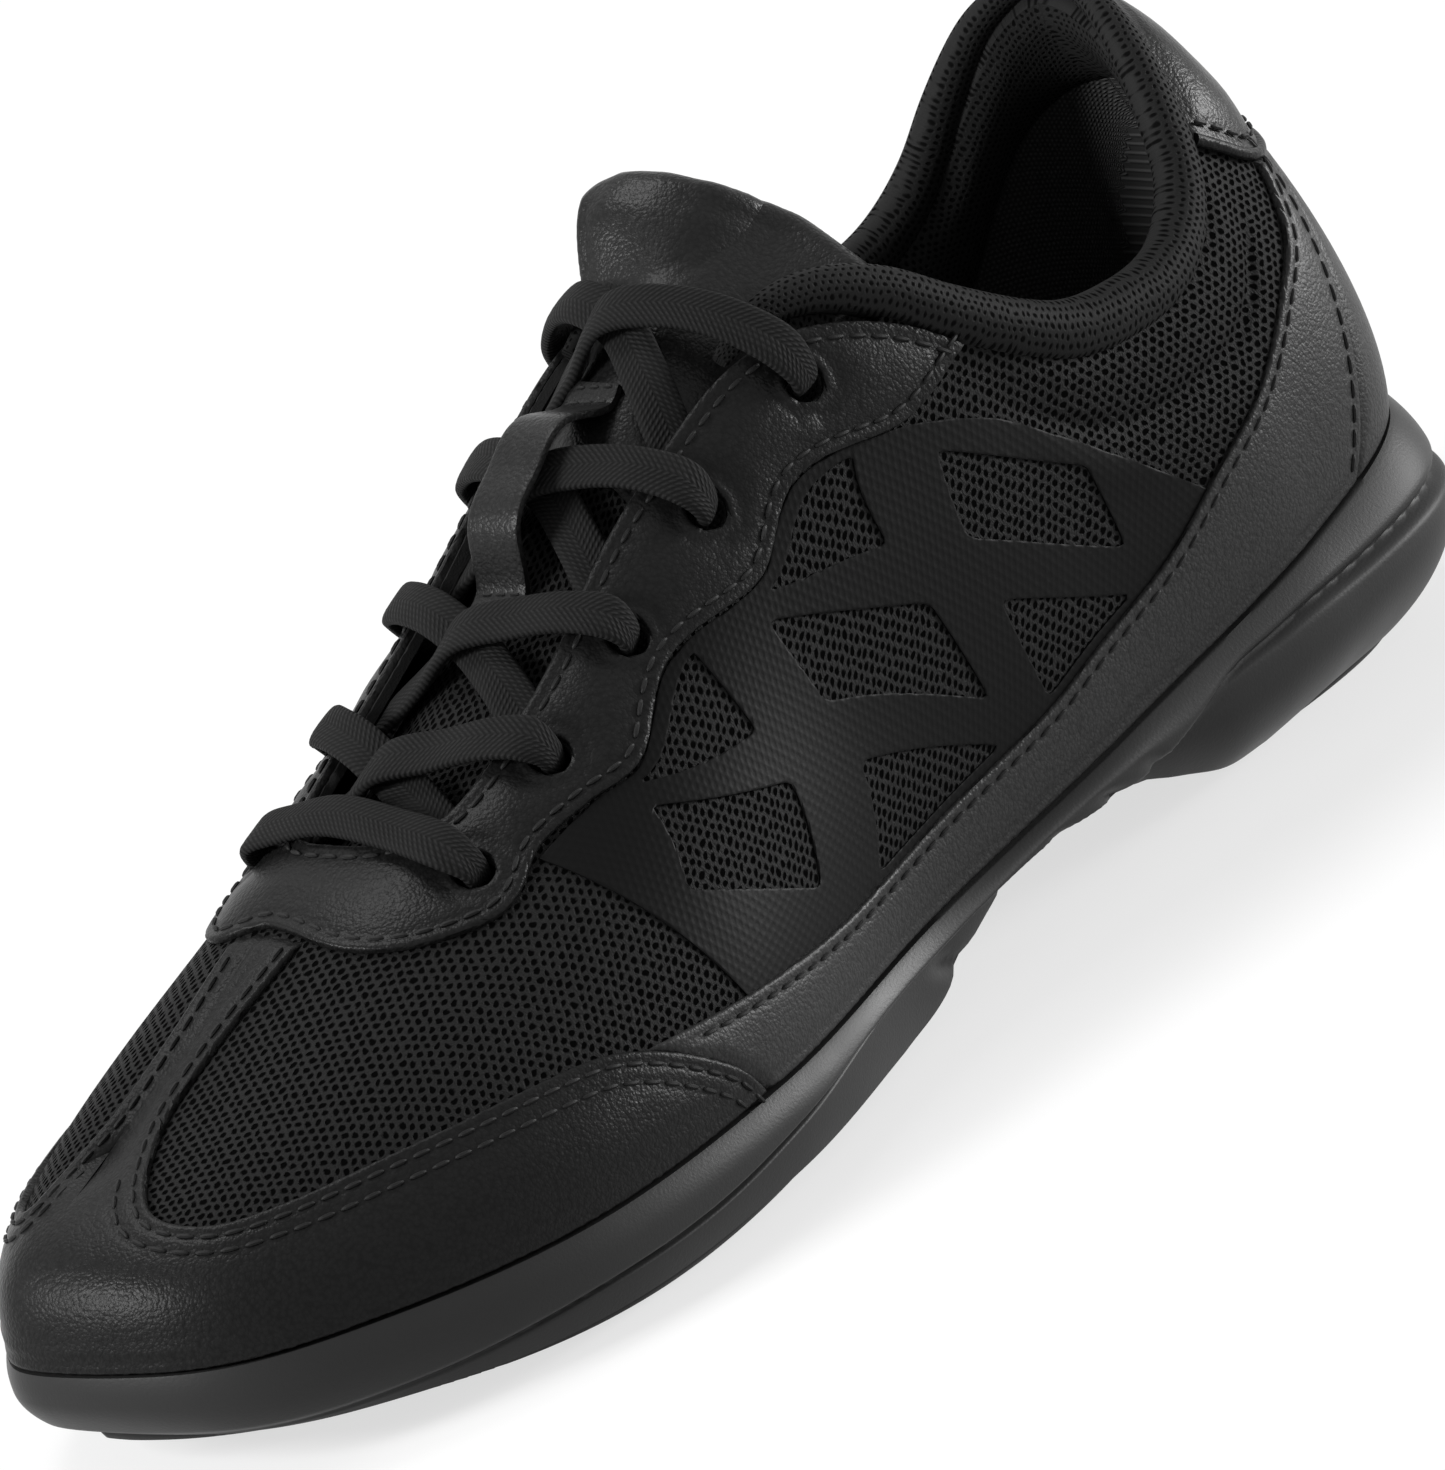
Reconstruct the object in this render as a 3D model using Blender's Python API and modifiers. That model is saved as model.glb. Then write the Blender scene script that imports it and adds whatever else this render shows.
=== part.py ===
"""A low-cut cheer shoe (left foot), built as an assembly of its separate pieces.

Frame: toe towards -X, heel towards +X, lateral (outer) side towards -Y, ground at z = 0,
origin on the ground at the middle of the outsole's box.  Sizes are millimetres; the meshes
are written in metres.

Every layer of the upper is a patch of one surface, the last's skin.  A place on it is given by
an angle and a height: the angle goes round the foot (0 at the heel, 90 at the lateral waist,
180 at the toe, 270 at the medial waist), and the height runs from 0 at the feather line, where
the upper meets the sole, to 1 at the spine, the line along the top of the foot.  A side is +1
for lateral and -1 for medial, so that both sides share one outline.
"""

import math

import bmesh
import bpy
import numpy as np

MM = 0.001

# ---------------------------------------------------------------- driving sizes (millimetres)
LAST_LENGTH = 244.0
BALL_WIDTH = 78.0
INSTEP_HEIGHT = 84.5
SOLE_SCALE = 1.0

LEATHER_THICKNESS = 1.0
FILM_THICKNESS = 0.3
MESH_THICKNESS = 0.7
STIFFENER_THICKNESS = 0.7
LINING_THICKNESS = 0.6
LEATHER_TO_MESH_GAP = 0.65
MESH_TO_STIFFENER_GAP = 0.65
STIFFENER_TO_LINING_GAP = 0.7
SEAM_GAP = 0.5
SEAT_GAP = 0.3

COLLAR_FOAM_THICKNESS = 4.2
BINDING_RADIUS = 1.9
TONGUE_FOAM_THICKNESS = 3.2
TONGUE_TO_EYESTAY_GAP = 3.2
FLAP_GAP = 0.8

PAD_THICKNESS = 2.6
BOARD_THICKNESS = 1.6
SOCKLINER_THICKNESS = 3.6
SOCKLINER_COVER_THICKNESS = 0.6
INSOLE_LEAN = 0.30

LACE_WIDTH = 6.0
LACE_THICKNESS = 1.7
EYELET_RADIUS = 3.0
LACE_WIDTH_IN_EYELET = 4.2
AGLET_RADIUS = 1.6
AGLET_LENGTH = 14.0

# Depths below the skin, each worked out from the layers above it.
MESH_DEPTH = LEATHER_THICKNESS + LEATHER_TO_MESH_GAP
STIFFENER_DEPTH = MESH_DEPTH + MESH_THICKNESS + MESH_TO_STIFFENER_GAP
LINING_DEPTH = STIFFENER_DEPTH + STIFFENER_THICKNESS + STIFFENER_TO_LINING_GAP
LINING_BACK = LINING_DEPTH + LINING_THICKNESS
TONGUE_DEPTH = MESH_DEPTH + MESH_THICKNESS + TONGUE_TO_EYESTAY_GAP
TONGUE_FOAM_DEPTH = TONGUE_DEPTH + MESH_THICKNESS + LEATHER_TO_MESH_GAP
TONGUE_LINING_DEPTH = TONGUE_FOAM_DEPTH + TONGUE_FOAM_THICKNESS + LEATHER_TO_MESH_GAP

# ---------------------------------------------------------------- the last's shape
# Plan outline of the last's bottom: angle, and y as a share of the ball width.
OUTLINE = [
    (0, 0.0), (23, -0.340), (46, -0.430), (68, -0.410), (88, -0.410), (107, -0.513),
    (125, -0.519), (145, -0.378), (165, -0.180), (180, 0.096), (196, 0.237), (217, 0.385),
    (238, 0.468), (253, 0.487), (270, 0.410), (287, 0.333), (308, 0.346), (332, 0.282), (360, 0.0),
]
# Feather line height by station; a station is x over half the last's length, -1 at the toe.
FEATHER = [(-1, 17.5), (-0.74, 15.0), (-0.37, 13.4), (0, 13.2), (0.33, 16.8), (0.66, 23.0), (1, 30.0)]
# Spine: for the station at the feather line, the spine's own station, and its height share.
SPINE_STATION = [
    (-1, -0.811), (-0.86, -0.732), (-0.66, -0.598), (-0.41, -0.395), (0, 0.019), (0.41, 0.402),
    (0.74, 0.634), (1, 0.762),
]
SPINE_HEIGHT = [
    (-1, 0.407), (-0.86, 0.460), (-0.66, 0.543), (-0.41, 0.665), (-0.2, 0.815), (0, 0.998),
    (0.2, 1.167), (0.41, 1.269), (0.74, 1.254), (1, 1.237),
]
SPINE_SHIFT = [(-1, 10.5), (-0.66, 7.3), (-0.2, 1.5), (0, 0.5), (1, 1.5)]
# Side wall of the last: how high it rises steeply, how far it bulges, how wide it stays on top.
WALL_RISE = [(-1, 0.76), (-0.74, 0.62), (-0.33, 0.48), (0, 0.42), (0.49, 0.34), (1, 0.28)]
WALL_BULGE = [(-1, -0.5), (-0.74, 0.8), (-0.33, 2.6), (0, 4.0), (0.49, 5.3), (1, 6.0)]
TOP_FULLNESS = [(-1, 0.50), (-0.74, 0.52), (-0.33, 0.52), (0, 0.60), (0.49, 0.64), (1, 0.50)]

# Outlines on the skin, all as (angle, height) on one side.
COLLAR_LINE = [
    (0, 0.720), (15, 0.695), (26, 0.637), (34.5, 0.541), (39, 0.475), (45, 0.421), (54, 0.402),
    (60.5, 0.425), (67.5, 0.521), (71, 0.595), (77.8, 0.703), (83.4, 0.735),
]
EYELETS = [(115.5, 0.695), (106.6, 0.695), (98.2, 0.672), (89.4, 0.641), (79.4, 0.606)]
EYESTAY_INNER = [
    (117.5, 1.0), (116.8, 0.90), (114.5, 0.825), (111, 0.79), (103, 0.78), (96, 0.785),
    (90, 0.757), (84, 0.722), (79, 0.670), (75, 0.612), (71.2, 0.548), (68.6, 0.496),
]
EYESTAY_OUTER = [
    (125.5, 1.0), (125.8, 0.83), (123.2, 0.71), (118.2, 0.618), (115.1, 0.602), (111.5, 0.622),
    (107.4, 0.595), (103, 0.556), (97.4, 0.593), (89.4, 0.517), (83.6, 0.544), (75, 0.475),
    (68, 0.482),
]
RAND_TOP = [
    (113.6, 0.213), (106.2, 0.166), (94.6, 0.112), (83, 0.104), (74.6, 0.104), (68.6, 0.120),
    (60.5, 0.143), (53.3, 0.189), (46.1, 0.228), (38.1, 0.290), (32.1, 0.332), (25, 0.360),
]
CAP_EDGE = [
    (108.4, 0.004), (110.8, 0.097), (117.1, 0.243), (123.1, 0.309), (136.3, 0.372),
    (148, 0.408), (157.5, 0.465), (163.5, 0.590), (161.5, 0.760), (153.1, 0.880),
    (140, 0.915), (127.0, 0.907),
]
CAP_RIM = [
    (107.6, 0.004), (111, 0.004), (117.1, 0.004), (123.1, 0.004), (136.3, 0.004), (150, 0.004),
    (166, 0.004), (180, 0.004), (180, 0.60), (180, 1.0), (150, 1.0), (127.0, 1.0),
]
THROAT_CLOSES = (118.0, 121.0)
STAY_TOP = 0.365
TAB_BOTTOM = [(0, 0.405), (15, 0.412), (27.3, 0.432), (35, 0.500)]
COUNTER_TOP = [(0, 0.36), (30, 0.24), (45, 0.14), (58, 0.11)]
PUFF_TOP = 0.62
PUFF_HALF_ANGLE = 52.0

# ---------------------------------------------------------------- the sole's shape
SOLE_BULGE = [(0, 8.5), (30, 7.5), (60, 4.0), (90, 2.6), (120, 3.6), (150, 3.2), (180, 3.0)]
SOLE_GROOVE = [(0, 1.6), (45, 1.6), (75, 0.6), (110, 1.2), (160, 0.8), (180, 0.4)]
HEEL_POD = [(0, 1.4), (50, 1.2), (68, -2.0), (90, -3.5), (110, 0.0), (180, 0.0)]
GROUND_LINE = [
    (-1.03, 9.5), (-0.86, 5.0), (-0.70, 1.8), (-0.54, 0.2), (-0.46, 0.0), (0.05, 0.0),
    (0.20, 2.4), (0.36, 5.0), (0.47, 3.6), (0.55, 0.5), (0.60, 0.0), (0.92, 0.0), (1.08, 3.4),
]
FOREFOOT_PAD = (-1.0, 0.06)
HEEL_PAD = (0.56, 1.05)

HALF_LENGTH = LAST_LENGTH / 2
RING_SAMPLES = 60

COLOURS = {
    "leather": (0.012, 0.012, 0.013),
    "fabric": (0.010, 0.010, 0.011),
    "film": (0.016, 0.016, 0.017),
    "rubber": (0.011, 0.011, 0.012),
    "foam": (0.020, 0.020, 0.021),
    "board": (0.055, 0.055, 0.055),
    "lace": (0.009, 0.009, 0.010),
    "plastic": (0.013, 0.013, 0.014),
}
ROUGHNESS = {
    "leather": 0.42, "fabric": 0.85, "film": 0.30, "rubber": 0.50, "foam": 0.90, "board": 0.85,
    "lace": 0.80, "plastic": 0.35,
}


# ---------------------------------------------------------------- numbers
def smooth(table, x):
    """A smooth curve through the table's points, level outside its ends."""
    xs = np.array([row[0] for row in table], float)
    ys = np.array([row[1] for row in table], float)
    slopes = np.gradient(ys, xs)
    x = np.clip(np.asarray(x, float), xs[0], xs[-1])
    i = np.clip(np.searchsorted(xs, x, side="right") - 1, 0, len(xs) - 2)
    step = xs[i + 1] - xs[i]
    u = (x - xs[i]) / step
    rise = (1 + 2 * u) * (1 - u) ** 2 * ys[i] + u * u * (3 - 2 * u) * ys[i + 1]
    lean = u * (1 - u) ** 2 * slopes[i] - u * u * (1 - u) * slopes[i + 1]
    return rise + lean * step


def resample(points, count):
    """Evenly numbered places along a smooth line through the given points."""
    points = np.asarray(points, float)
    places = np.linspace(0, len(points) - 1, count)
    knots = range(len(points))
    columns = [smooth(list(zip(knots, points[:, axis])), places) for axis in range(points.shape[1])]
    return np.stack(columns, -1)


def straight(points, count):
    """The same, with straight lines between the points, so that corners stay sharp."""
    points = np.asarray(points, float)
    places = np.linspace(0, len(points) - 1, count)
    knots = range(len(points))
    columns = [np.interp(places, knots, points[:, axis]) for axis in range(points.shape[1])]
    return np.stack(columns, -1)


def folded(angle):
    """The same place's angle counted from the heel on either side, 0 to 180."""
    return 180.0 - np.abs((np.asarray(angle, float) % 360.0) - 180.0)


# ---------------------------------------------------------------- the skin
def skin_point(angle, height):
    angle, height = np.broadcast_arrays(np.asarray(angle, float), np.asarray(height, float))
    angle = angle % 360.0
    station = np.cos(np.radians(angle))
    base = np.stack([
        HALF_LENGTH * station,
        BALL_WIDTH * smooth(OUTLINE, angle),
        smooth(FEATHER, station) * SOLE_SCALE,
    ], -1)
    spine = np.stack([
        HALF_LENGTH * smooth(SPINE_STATION, station),
        smooth(SPINE_SHIFT, station),
        INSTEP_HEIGHT * smooth(SPINE_HEIGHT, station),
    ], -1)
    across = base - spine
    across[..., 2] = 0
    width = np.linalg.norm(across, axis=-1, keepdims=True)
    outward = across / np.maximum(width, 1e-9)
    rise = (spine - base)[..., 2:] * smooth(WALL_RISE, station)[..., None]
    wall = base + outward * smooth(WALL_BULGE, station)[..., None]
    wall[..., 2] += rise[..., 0]
    top = spine + outward * width * smooth(TOP_FULLNESS, station)[..., None]
    t = height[..., None]
    return (1 - t) ** 3 * base + 3 * (1 - t) ** 2 * t * wall + 3 * (1 - t) * t * t * top + t ** 3 * spine


def skin_frame(angle, height):
    """Unit vectors along the foot (towards growing angle), up the skin, and outwards."""
    angle, height = np.broadcast_arrays(np.asarray(angle, float), np.asarray(height, float))
    height = np.clip(height, 0.002, 0.985)
    along = skin_point(angle + 0.6, height) - skin_point(angle - 0.6, height)
    upward = skin_point(angle, height + 0.01) - skin_point(angle, height - 0.01)
    along /= np.linalg.norm(along, axis=-1, keepdims=True)
    upward /= np.linalg.norm(upward, axis=-1, keepdims=True)
    outward = np.cross(upward, along)
    outward /= np.linalg.norm(outward, axis=-1, keepdims=True)
    return along, upward, outward


def skin(places, depth):
    """Points at a depth below the skin; at the spine both sides share one normal."""
    places = np.asarray(places, float)
    angle, height = places[..., 0], places[..., 1]
    outward = skin_frame(angle, height)[2]
    mirrored = skin_frame(360.0 - angle, height)[2]
    near_spine = np.clip((height - 0.93) / 0.07, 0, 1)[..., None] * 0.5
    outward = outward * (1 - near_spine) + mirrored * near_spine
    outward /= np.linalg.norm(outward, axis=-1, keepdims=True)
    return skin_point(angle, height) - outward * np.asarray(depth, float)[..., None]


def across_foot(angle, share):
    """A place from a signed share: -1 lateral feather, 0 spine, +1 medial feather."""
    angle, share = np.broadcast_arrays(np.asarray(angle, float), np.asarray(share, float))
    return np.stack([np.where(share <= 0, angle, 360.0 - angle), 1 - np.abs(share)], -1)


def on_side(points, side):
    """The same outline on the lateral (+1) or medial (-1) side."""
    points = np.array(points, float)
    if side < 0:
        points[..., 0] = 360.0 - points[..., 0]
    return points


# ---------------------------------------------------------------- the sole's rings
def sole_ring(level, inset=0.0, samples=RING_SAMPLES):
    """One ring of the midsole: level 0 at the feather line, 1 at the bottom edge."""
    angle = np.arange(samples) * 360.0 / samples
    side_angle = folded(angle)
    base = skin_point(angle, 0.0)
    outward = skin_frame(angle, 0.0)[2] * np.array([1, 1, 0])
    outward /= np.linalg.norm(outward, axis=-1, keepdims=True)
    bulge = smooth(SOLE_BULGE, side_angle)
    groove = smooth(SOLE_GROOVE, side_angle)
    pod = smooth(HEEL_POD, side_angle)
    swell = smooth([(0, 0.0), (0.15, 0.75), (0.38, 1.0), (1, 1.0)], level)
    notch = math.exp(-((level - 0.56) / 0.09) ** 2)
    lower = smooth([(0, 0.0), (0.5, 0.0), (0.7, 1.0), (0.88, 0.8), (1, -0.2)], level)
    tuck = smooth([(0, 0.0), (0.8, 0.0), (1, 2.2)], level)
    reach = bulge * swell - groove * notch + pod * lower - tuck - inset
    ring = base + outward * reach[:, None]
    top = smooth(FEATHER, ring[:, 0] / HALF_LENGTH) * SOLE_SCALE - SEAT_GAP
    bottom = ground_height(ring[:, 0]) + PAD_THICKNESS + SEAT_GAP
    ring[:, 2] = top + (bottom - top) * level
    return ring


def ground_height(x):
    return np.maximum(smooth(GROUND_LINE, np.asarray(x) / HALF_LENGTH), 0.0) * SOLE_SCALE


def sole_centre():
    """Middle of the midsole's plan box, which is where the object's origin goes."""
    rings = np.concatenate([sole_ring(level) for level in SOLE_LEVELS])
    return np.array([*(rings[:, :2].max(0) + rings[:, :2].min(0)) / 2, 0.0])


SOLE_LEVELS = (0.0, 0.12, 0.34, 0.48, 0.56, 0.64, 0.78, 0.90, 1.0)


# ---------------------------------------------------------------- making objects
def clear_scene():
    for item in list(bpy.data.objects):
        bpy.data.objects.remove(item, do_unlink=True)


def make_material(name, kind):
    material = bpy.data.materials.new(name)
    material.use_nodes = True
    shader = material.node_tree.nodes["Principled BSDF"]
    shader.inputs["Base Color"].default_value = (*COLOURS[kind], 1.0)
    shader.inputs["Roughness"].default_value = ROUGHNESS[kind]
    shader.inputs["Metallic"].default_value = 0.0
    material.diffuse_color = (*COLOURS[kind], 1.0)
    return material


def add_object(name, mesh_data, kind, collection):
    item = bpy.data.objects.new(name, mesh_data)
    collection.objects.link(item)
    mesh_data.materials.append(make_material(name, kind))
    return item


def place_vertices(bm, points):
    points = (points.reshape(-1, 3) - ORIGIN) * MM
    for vertex, point in zip(bm.verts, points):
        vertex.co = point


def finish_mesh(name, bm):
    mesh_data = bpy.data.meshes.new(name)
    bm.to_mesh(mesh_data)
    bm.free()
    return mesh_data


def grid_patch(points, outward):
    """A grid whose vertices are moved onto the given rows, with its faces outward."""
    rows, columns = points.shape[:2]
    bm = bmesh.new()
    bmesh.ops.create_grid(bm, x_segments=columns - 1, y_segments=rows - 1, size=1)
    bm.verts.ensure_lookup_table()
    place_vertices(bm, points)
    bm.faces.ensure_lookup_table()
    middle = bm.faces[(rows // 2) * (columns - 1) + columns // 2]
    middle.normal_update()
    if middle.normal.dot(outward[rows // 2, columns // 2]) < 0:
        bmesh.ops.reverse_faces(bm, faces=bm.faces)
    return bm


def patches_mesh(name, patches, depth):
    """One mesh from patches of the skin at a depth, merged where they meet."""
    bm = bmesh.new()
    for places in patches:
        places = np.asarray(places, float)
        points = skin(places, np.broadcast_to(np.asarray(depth, float), places.shape[:2]))
        patch = grid_patch(points, skin_frame(places[..., 0], places[..., 1])[2])
        part = finish_mesh(name, patch)
        bm.from_mesh(part)
        bpy.data.meshes.remove(part)
    bmesh.ops.remove_doubles(bm, verts=bm.verts, dist=0.02 * MM)
    bmesh.ops.dissolve_degenerate(bm, edges=bm.edges, dist=0.02 * MM)
    return finish_mesh(name, bm)


def add_shell(name, patches, depth, thickness, kind, collection):
    """One layer of the upper: patches of the skin at a depth, given their thickness inwards."""
    if isinstance(patches, np.ndarray):
        patches = [patches]
    item = add_object(name, patches_mesh(name, patches, depth), kind, collection)
    solidify = item.modifiers.new("thickness", "SOLIDIFY")
    solidify.thickness = thickness * MM
    solidify.offset = -1
    return item


def add_filled(name, places, depth, back_depth, kind, collection):
    """A soft filling between two depths that may vary from place to place."""
    outer = skin(places, depth)
    inner = skin(places, back_depth)
    rows, columns = outer.shape[:2]
    bm = bmesh.new()
    layers = [[bm.verts.new((p - ORIGIN) * MM) for p in layer.reshape(-1, 3)] for layer in (outer, inner)]
    loop = [c for c in range(columns)]
    loop += [r * columns + columns - 1 for r in range(1, rows)]
    loop += [(rows - 1) * columns + c for c in range(columns - 2, -1, -1)]
    loop += [r * columns for r in range(rows - 2, 0, -1)]
    for r in range(rows - 1):
        for c in range(columns - 1):
            corners = [r * columns + c, r * columns + c + 1, (r + 1) * columns + c + 1, (r + 1) * columns + c]
            bm.faces.new([layers[0][k] for k in corners])
            bm.faces.new([layers[1][k] for k in reversed(corners)])
    for a, b in zip(loop, loop[1:] + loop[:1]):
        bm.faces.new([layers[0][b], layers[0][a], layers[1][a], layers[1][b]])
    bmesh.ops.recalc_face_normals(bm, faces=bm.faces)
    return add_object(name, finish_mesh(name, bm), kind, collection)


def add_filling(name, places, depth, thickness, kind, collection):
    """The same with one depth and one thickness everywhere."""
    front = np.full(places.shape[:2], float(depth))
    return add_filled(name, places, front, front + thickness, kind, collection)


def add_loft(name, rings, kind, collection):
    """A solid through closed rings, each cut straight across the foot at top and bottom."""
    bm = bmesh.new()
    loops = [[bm.verts.new((p - ORIGIN) * MM) for p in ring] for ring in rings]
    count = len(loops[0])
    for upper, lower in zip(loops, loops[1:]):
        for i in range(count):
            j = (i + 1) % count
            bm.faces.new([upper[i], upper[j], lower[j], lower[i]])
    for loop in (loops[0], loops[-1]):
        for i in range(count // 2):
            corners = [loop[i], loop[i + 1], loop[(count - i - 1) % count], loop[(count - i) % count]]
            bm.faces.new(list(dict.fromkeys(corners)))
    bmesh.ops.recalc_face_normals(bm, faces=bm.faces)
    return add_object(name, finish_mesh(name, bm), kind, collection)


def add_sweep(name, path, widths, thicknesses, sideways, kind, collection):
    """A flat cord: one six-sided section carried along a path and closed at both ends."""
    path = np.asarray(path, float)
    forward = np.gradient(path, axis=0)
    forward /= np.linalg.norm(forward, axis=-1, keepdims=True)
    side = sideways - forward * (sideways * forward).sum(-1, keepdims=True)
    side /= np.linalg.norm(side, axis=-1, keepdims=True)
    normal = np.cross(forward, side)
    section = [(0.5, 0.0), (0.36, 0.5), (-0.36, 0.5), (-0.5, 0.0), (-0.36, -0.5), (0.36, -0.5)]
    bm = bmesh.new()
    loops = []
    for p, s, n, w, h in zip(path, side, normal, widths, thicknesses):
        loops.append([bm.verts.new((p + s * u * w + n * v * h - ORIGIN) * MM) for u, v in section])
    for first, second in zip(loops, loops[1:]):
        for i in range(len(section)):
            j = (i + 1) % len(section)
            bm.faces.new([first[i], first[j], second[j], second[i]])
    bm.faces.new(loops[0])
    bm.faces.new(list(reversed(loops[-1])))
    bmesh.ops.recalc_face_normals(bm, faces=bm.faces)
    return add_object(name, finish_mesh(name, bm), kind, collection)


# ---------------------------------------------------------------- the sole
def build_sole(collection):
    rings = [sole_ring(level) for level in SOLE_LEVELS]
    inner = sole_ring(0.0, inset=3.0)
    add_loft("midsole", [inner] + rings, "rubber", collection)
    add_pad("outsole_forefoot", FOREFOOT_PAD, collection)
    add_pad("outsole_heel", HEEL_PAD, collection)


def add_pad(name, span, collection):
    """A tread pad under the midsole, its outline following the midsole's bottom edge."""
    samples = 44
    turn = np.arange(samples) * 2 * math.pi / samples
    edge = sole_ring(1.0)
    half = len(edge) // 2
    lateral = edge[: half + 1]
    medial = np.concatenate([edge[half:], edge[:1]])
    low = max(span[0] * HALF_LENGTH, edge[:, 0].min() + 1.0)
    high = min(span[1] * HALF_LENGTH, edge[:, 0].max() - 1.0)
    x = (low + high) / 2 + (high - low) / 2 * np.cos(turn)
    y_lateral = np.interp(x, lateral[::-1, 0], lateral[::-1, 1]) + 1.0
    y_medial = np.interp(x, medial[:, 0], medial[:, 1]) - 1.0
    middle = (y_lateral + y_medial) / 2
    reach = np.abs(np.sin(turn)) ** 0.45
    y = np.where(np.sin(turn) > 0, middle + (y_lateral - middle) * reach, middle + (y_medial - middle) * reach)
    rings = []
    for drop, inset in ((0.0, 0.0), (PAD_THICKNESS * 0.6, 0.0), (PAD_THICKNESS, 0.8)):
        centre = np.array([(low + high) / 2, 0.0])
        plan = np.stack([x, y], -1)
        away = plan - np.stack([np.clip(x, low + 25, high - 25), middle], -1)
        away /= np.maximum(np.linalg.norm(away, axis=-1, keepdims=True), 1e-6)
        plan = plan - away * inset
        z = ground_height(x) + PAD_THICKNESS - drop
        rings.append(np.column_stack([plan, z]))
    add_loft(name, rings, "rubber", collection)


def floor_ring(inset, rise, samples=RING_SAMPLES):
    """A ring inside the upper at a height above the midsole's top."""
    angle = np.arange(samples) * 360.0 / samples
    base = skin_point(angle, 0.0)
    outward = skin_frame(angle, 0.0)[2] * np.array([1, 1, 0])
    outward /= np.linalg.norm(outward, axis=-1, keepdims=True)
    ring = base - outward * inset
    ring[:, 2] = smooth(FEATHER, ring[:, 0] / HALF_LENGTH) * SOLE_SCALE - SEAT_GAP + rise
    return ring


def build_insole(collection):
    inset = LINING_BACK + 0.8
    rise = SEAT_GAP
    layers = (
        ("insole_board", BOARD_THICKNESS, "board"),
        ("sockliner_foam", SOCKLINER_THICKNESS, "foam"),
        ("sockliner_cover", SOCKLINER_COVER_THICKNESS, "fabric"),
    )
    for name, thickness, kind in layers:
        lean = INSOLE_LEAN * (rise + thickness)
        rings = [floor_ring(inset + lean, rise + thickness), floor_ring(inset + lean, rise)]
        add_loft(name, rings, kind, collection)
        rise += thickness + SEAT_GAP


# ---------------------------------------------------------------- outlines of the full layers
def throat_limit(margin):
    """Height where a full layer stops: outside the eyelets, then below the collar."""
    eyelet_edge = EYELET_RADIUS / 75.0 + margin
    table = [(a, h - eyelet_edge) for a, h in EYELETS]
    return sorted(table)


def layer_top(angle, collar_drop, margin):
    """Top edge of a layer at an angle, 1 where it closes over the toes."""
    side_angle = folded(angle)
    collar = smooth(COLLAR_LINE, side_angle) - collar_drop
    eyelets = smooth(throat_limit(margin), side_angle)
    join = smooth([(68, 0.0), (76, 1.0)], np.clip(side_angle, 68, 76))
    top = collar * (1 - join) + np.minimum(eyelets, collar) * join
    first, last = THROAT_CLOSES
    closing = np.clip((side_angle - first) / (last - first), 0, 1)
    return top * (1 - closing) + closing


def layer_angles():
    """Even steps round the foot, with two of them moved to where the throat closes."""
    angle = np.linspace(0, 180, RING_SAMPLES // 2 + 1)
    angle[19] = THROAT_CLOSES[0] - 4.0
    angle[20] = THROAT_CLOSES[0]
    angle = np.sort(np.append(angle, THROAT_CLOSES[1]))
    return np.concatenate([angle, 360.0 - angle[-2::-1]])


def layer_places(low, collar_drop, margin, rows):
    angle = layer_angles()
    top = layer_top(angle, collar_drop, margin)
    shares = np.linspace(0, 1, rows)[:, None]
    height = low + (top - low)[None, :] * shares
    return np.stack([np.broadcast_to(angle, height.shape), height], -1)


def ribbon(first, second, count, rows, shape=resample):
    """Places between two outlines, row by row."""
    first = resample(first, count)
    second = shape(second, count)
    shares = np.linspace(0, 1, rows)[:, None, None]
    return first[None] * (1 - shares) + second[None] * shares


# ---------------------------------------------------------------- the upper
def build_upper(collection):
    add_shell("upper_mesh", layer_places(0.03, 0.040, 0.022, 7), MESH_DEPTH, MESH_THICKNESS,
              "fabric", collection)
    places = layer_places(0.06, 0.185, 0.030, 5)
    add_shell("upper_lining", places, LINING_DEPTH, LINING_THICKNESS, "fabric", collection)
    build_stiffeners(collection)
    build_collar(collection)
    build_toe_cap(collection)
    build_rands(collection)
    build_heel(collection)
    build_eyestay(collection)
    build_film(collection)


def build_stiffeners(collection):
    angle = np.arange(180 - PUFF_HALF_ANGLE, 180 + PUFF_HALF_ANGLE + 1, 360 / RING_SAMPLES)
    shares = np.linspace(0, 1, 6)[:, None]
    reach = PUFF_TOP * (1 - 0.35 * (np.abs(angle - 180) / PUFF_HALF_ANGLE) ** 2)
    height = 0.05 + (reach - 0.05)[None] * shares
    places = np.stack([np.broadcast_to(angle, height.shape), height], -1)
    add_shell("toe_puff", places, STIFFENER_DEPTH, STIFFENER_THICKNESS, "board", collection)
    angle = np.arange(-54, 54 + 1, 360 / RING_SAMPLES)
    height = 0.05 + (smooth(COUNTER_TOP, np.abs(angle)) - 0.05)[None] * shares
    places = np.stack([np.broadcast_to(angle, height.shape), height], -1)
    add_shell("heel_counter", places, STIFFENER_DEPTH, STIFFENER_THICKNESS, "board", collection)


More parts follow.
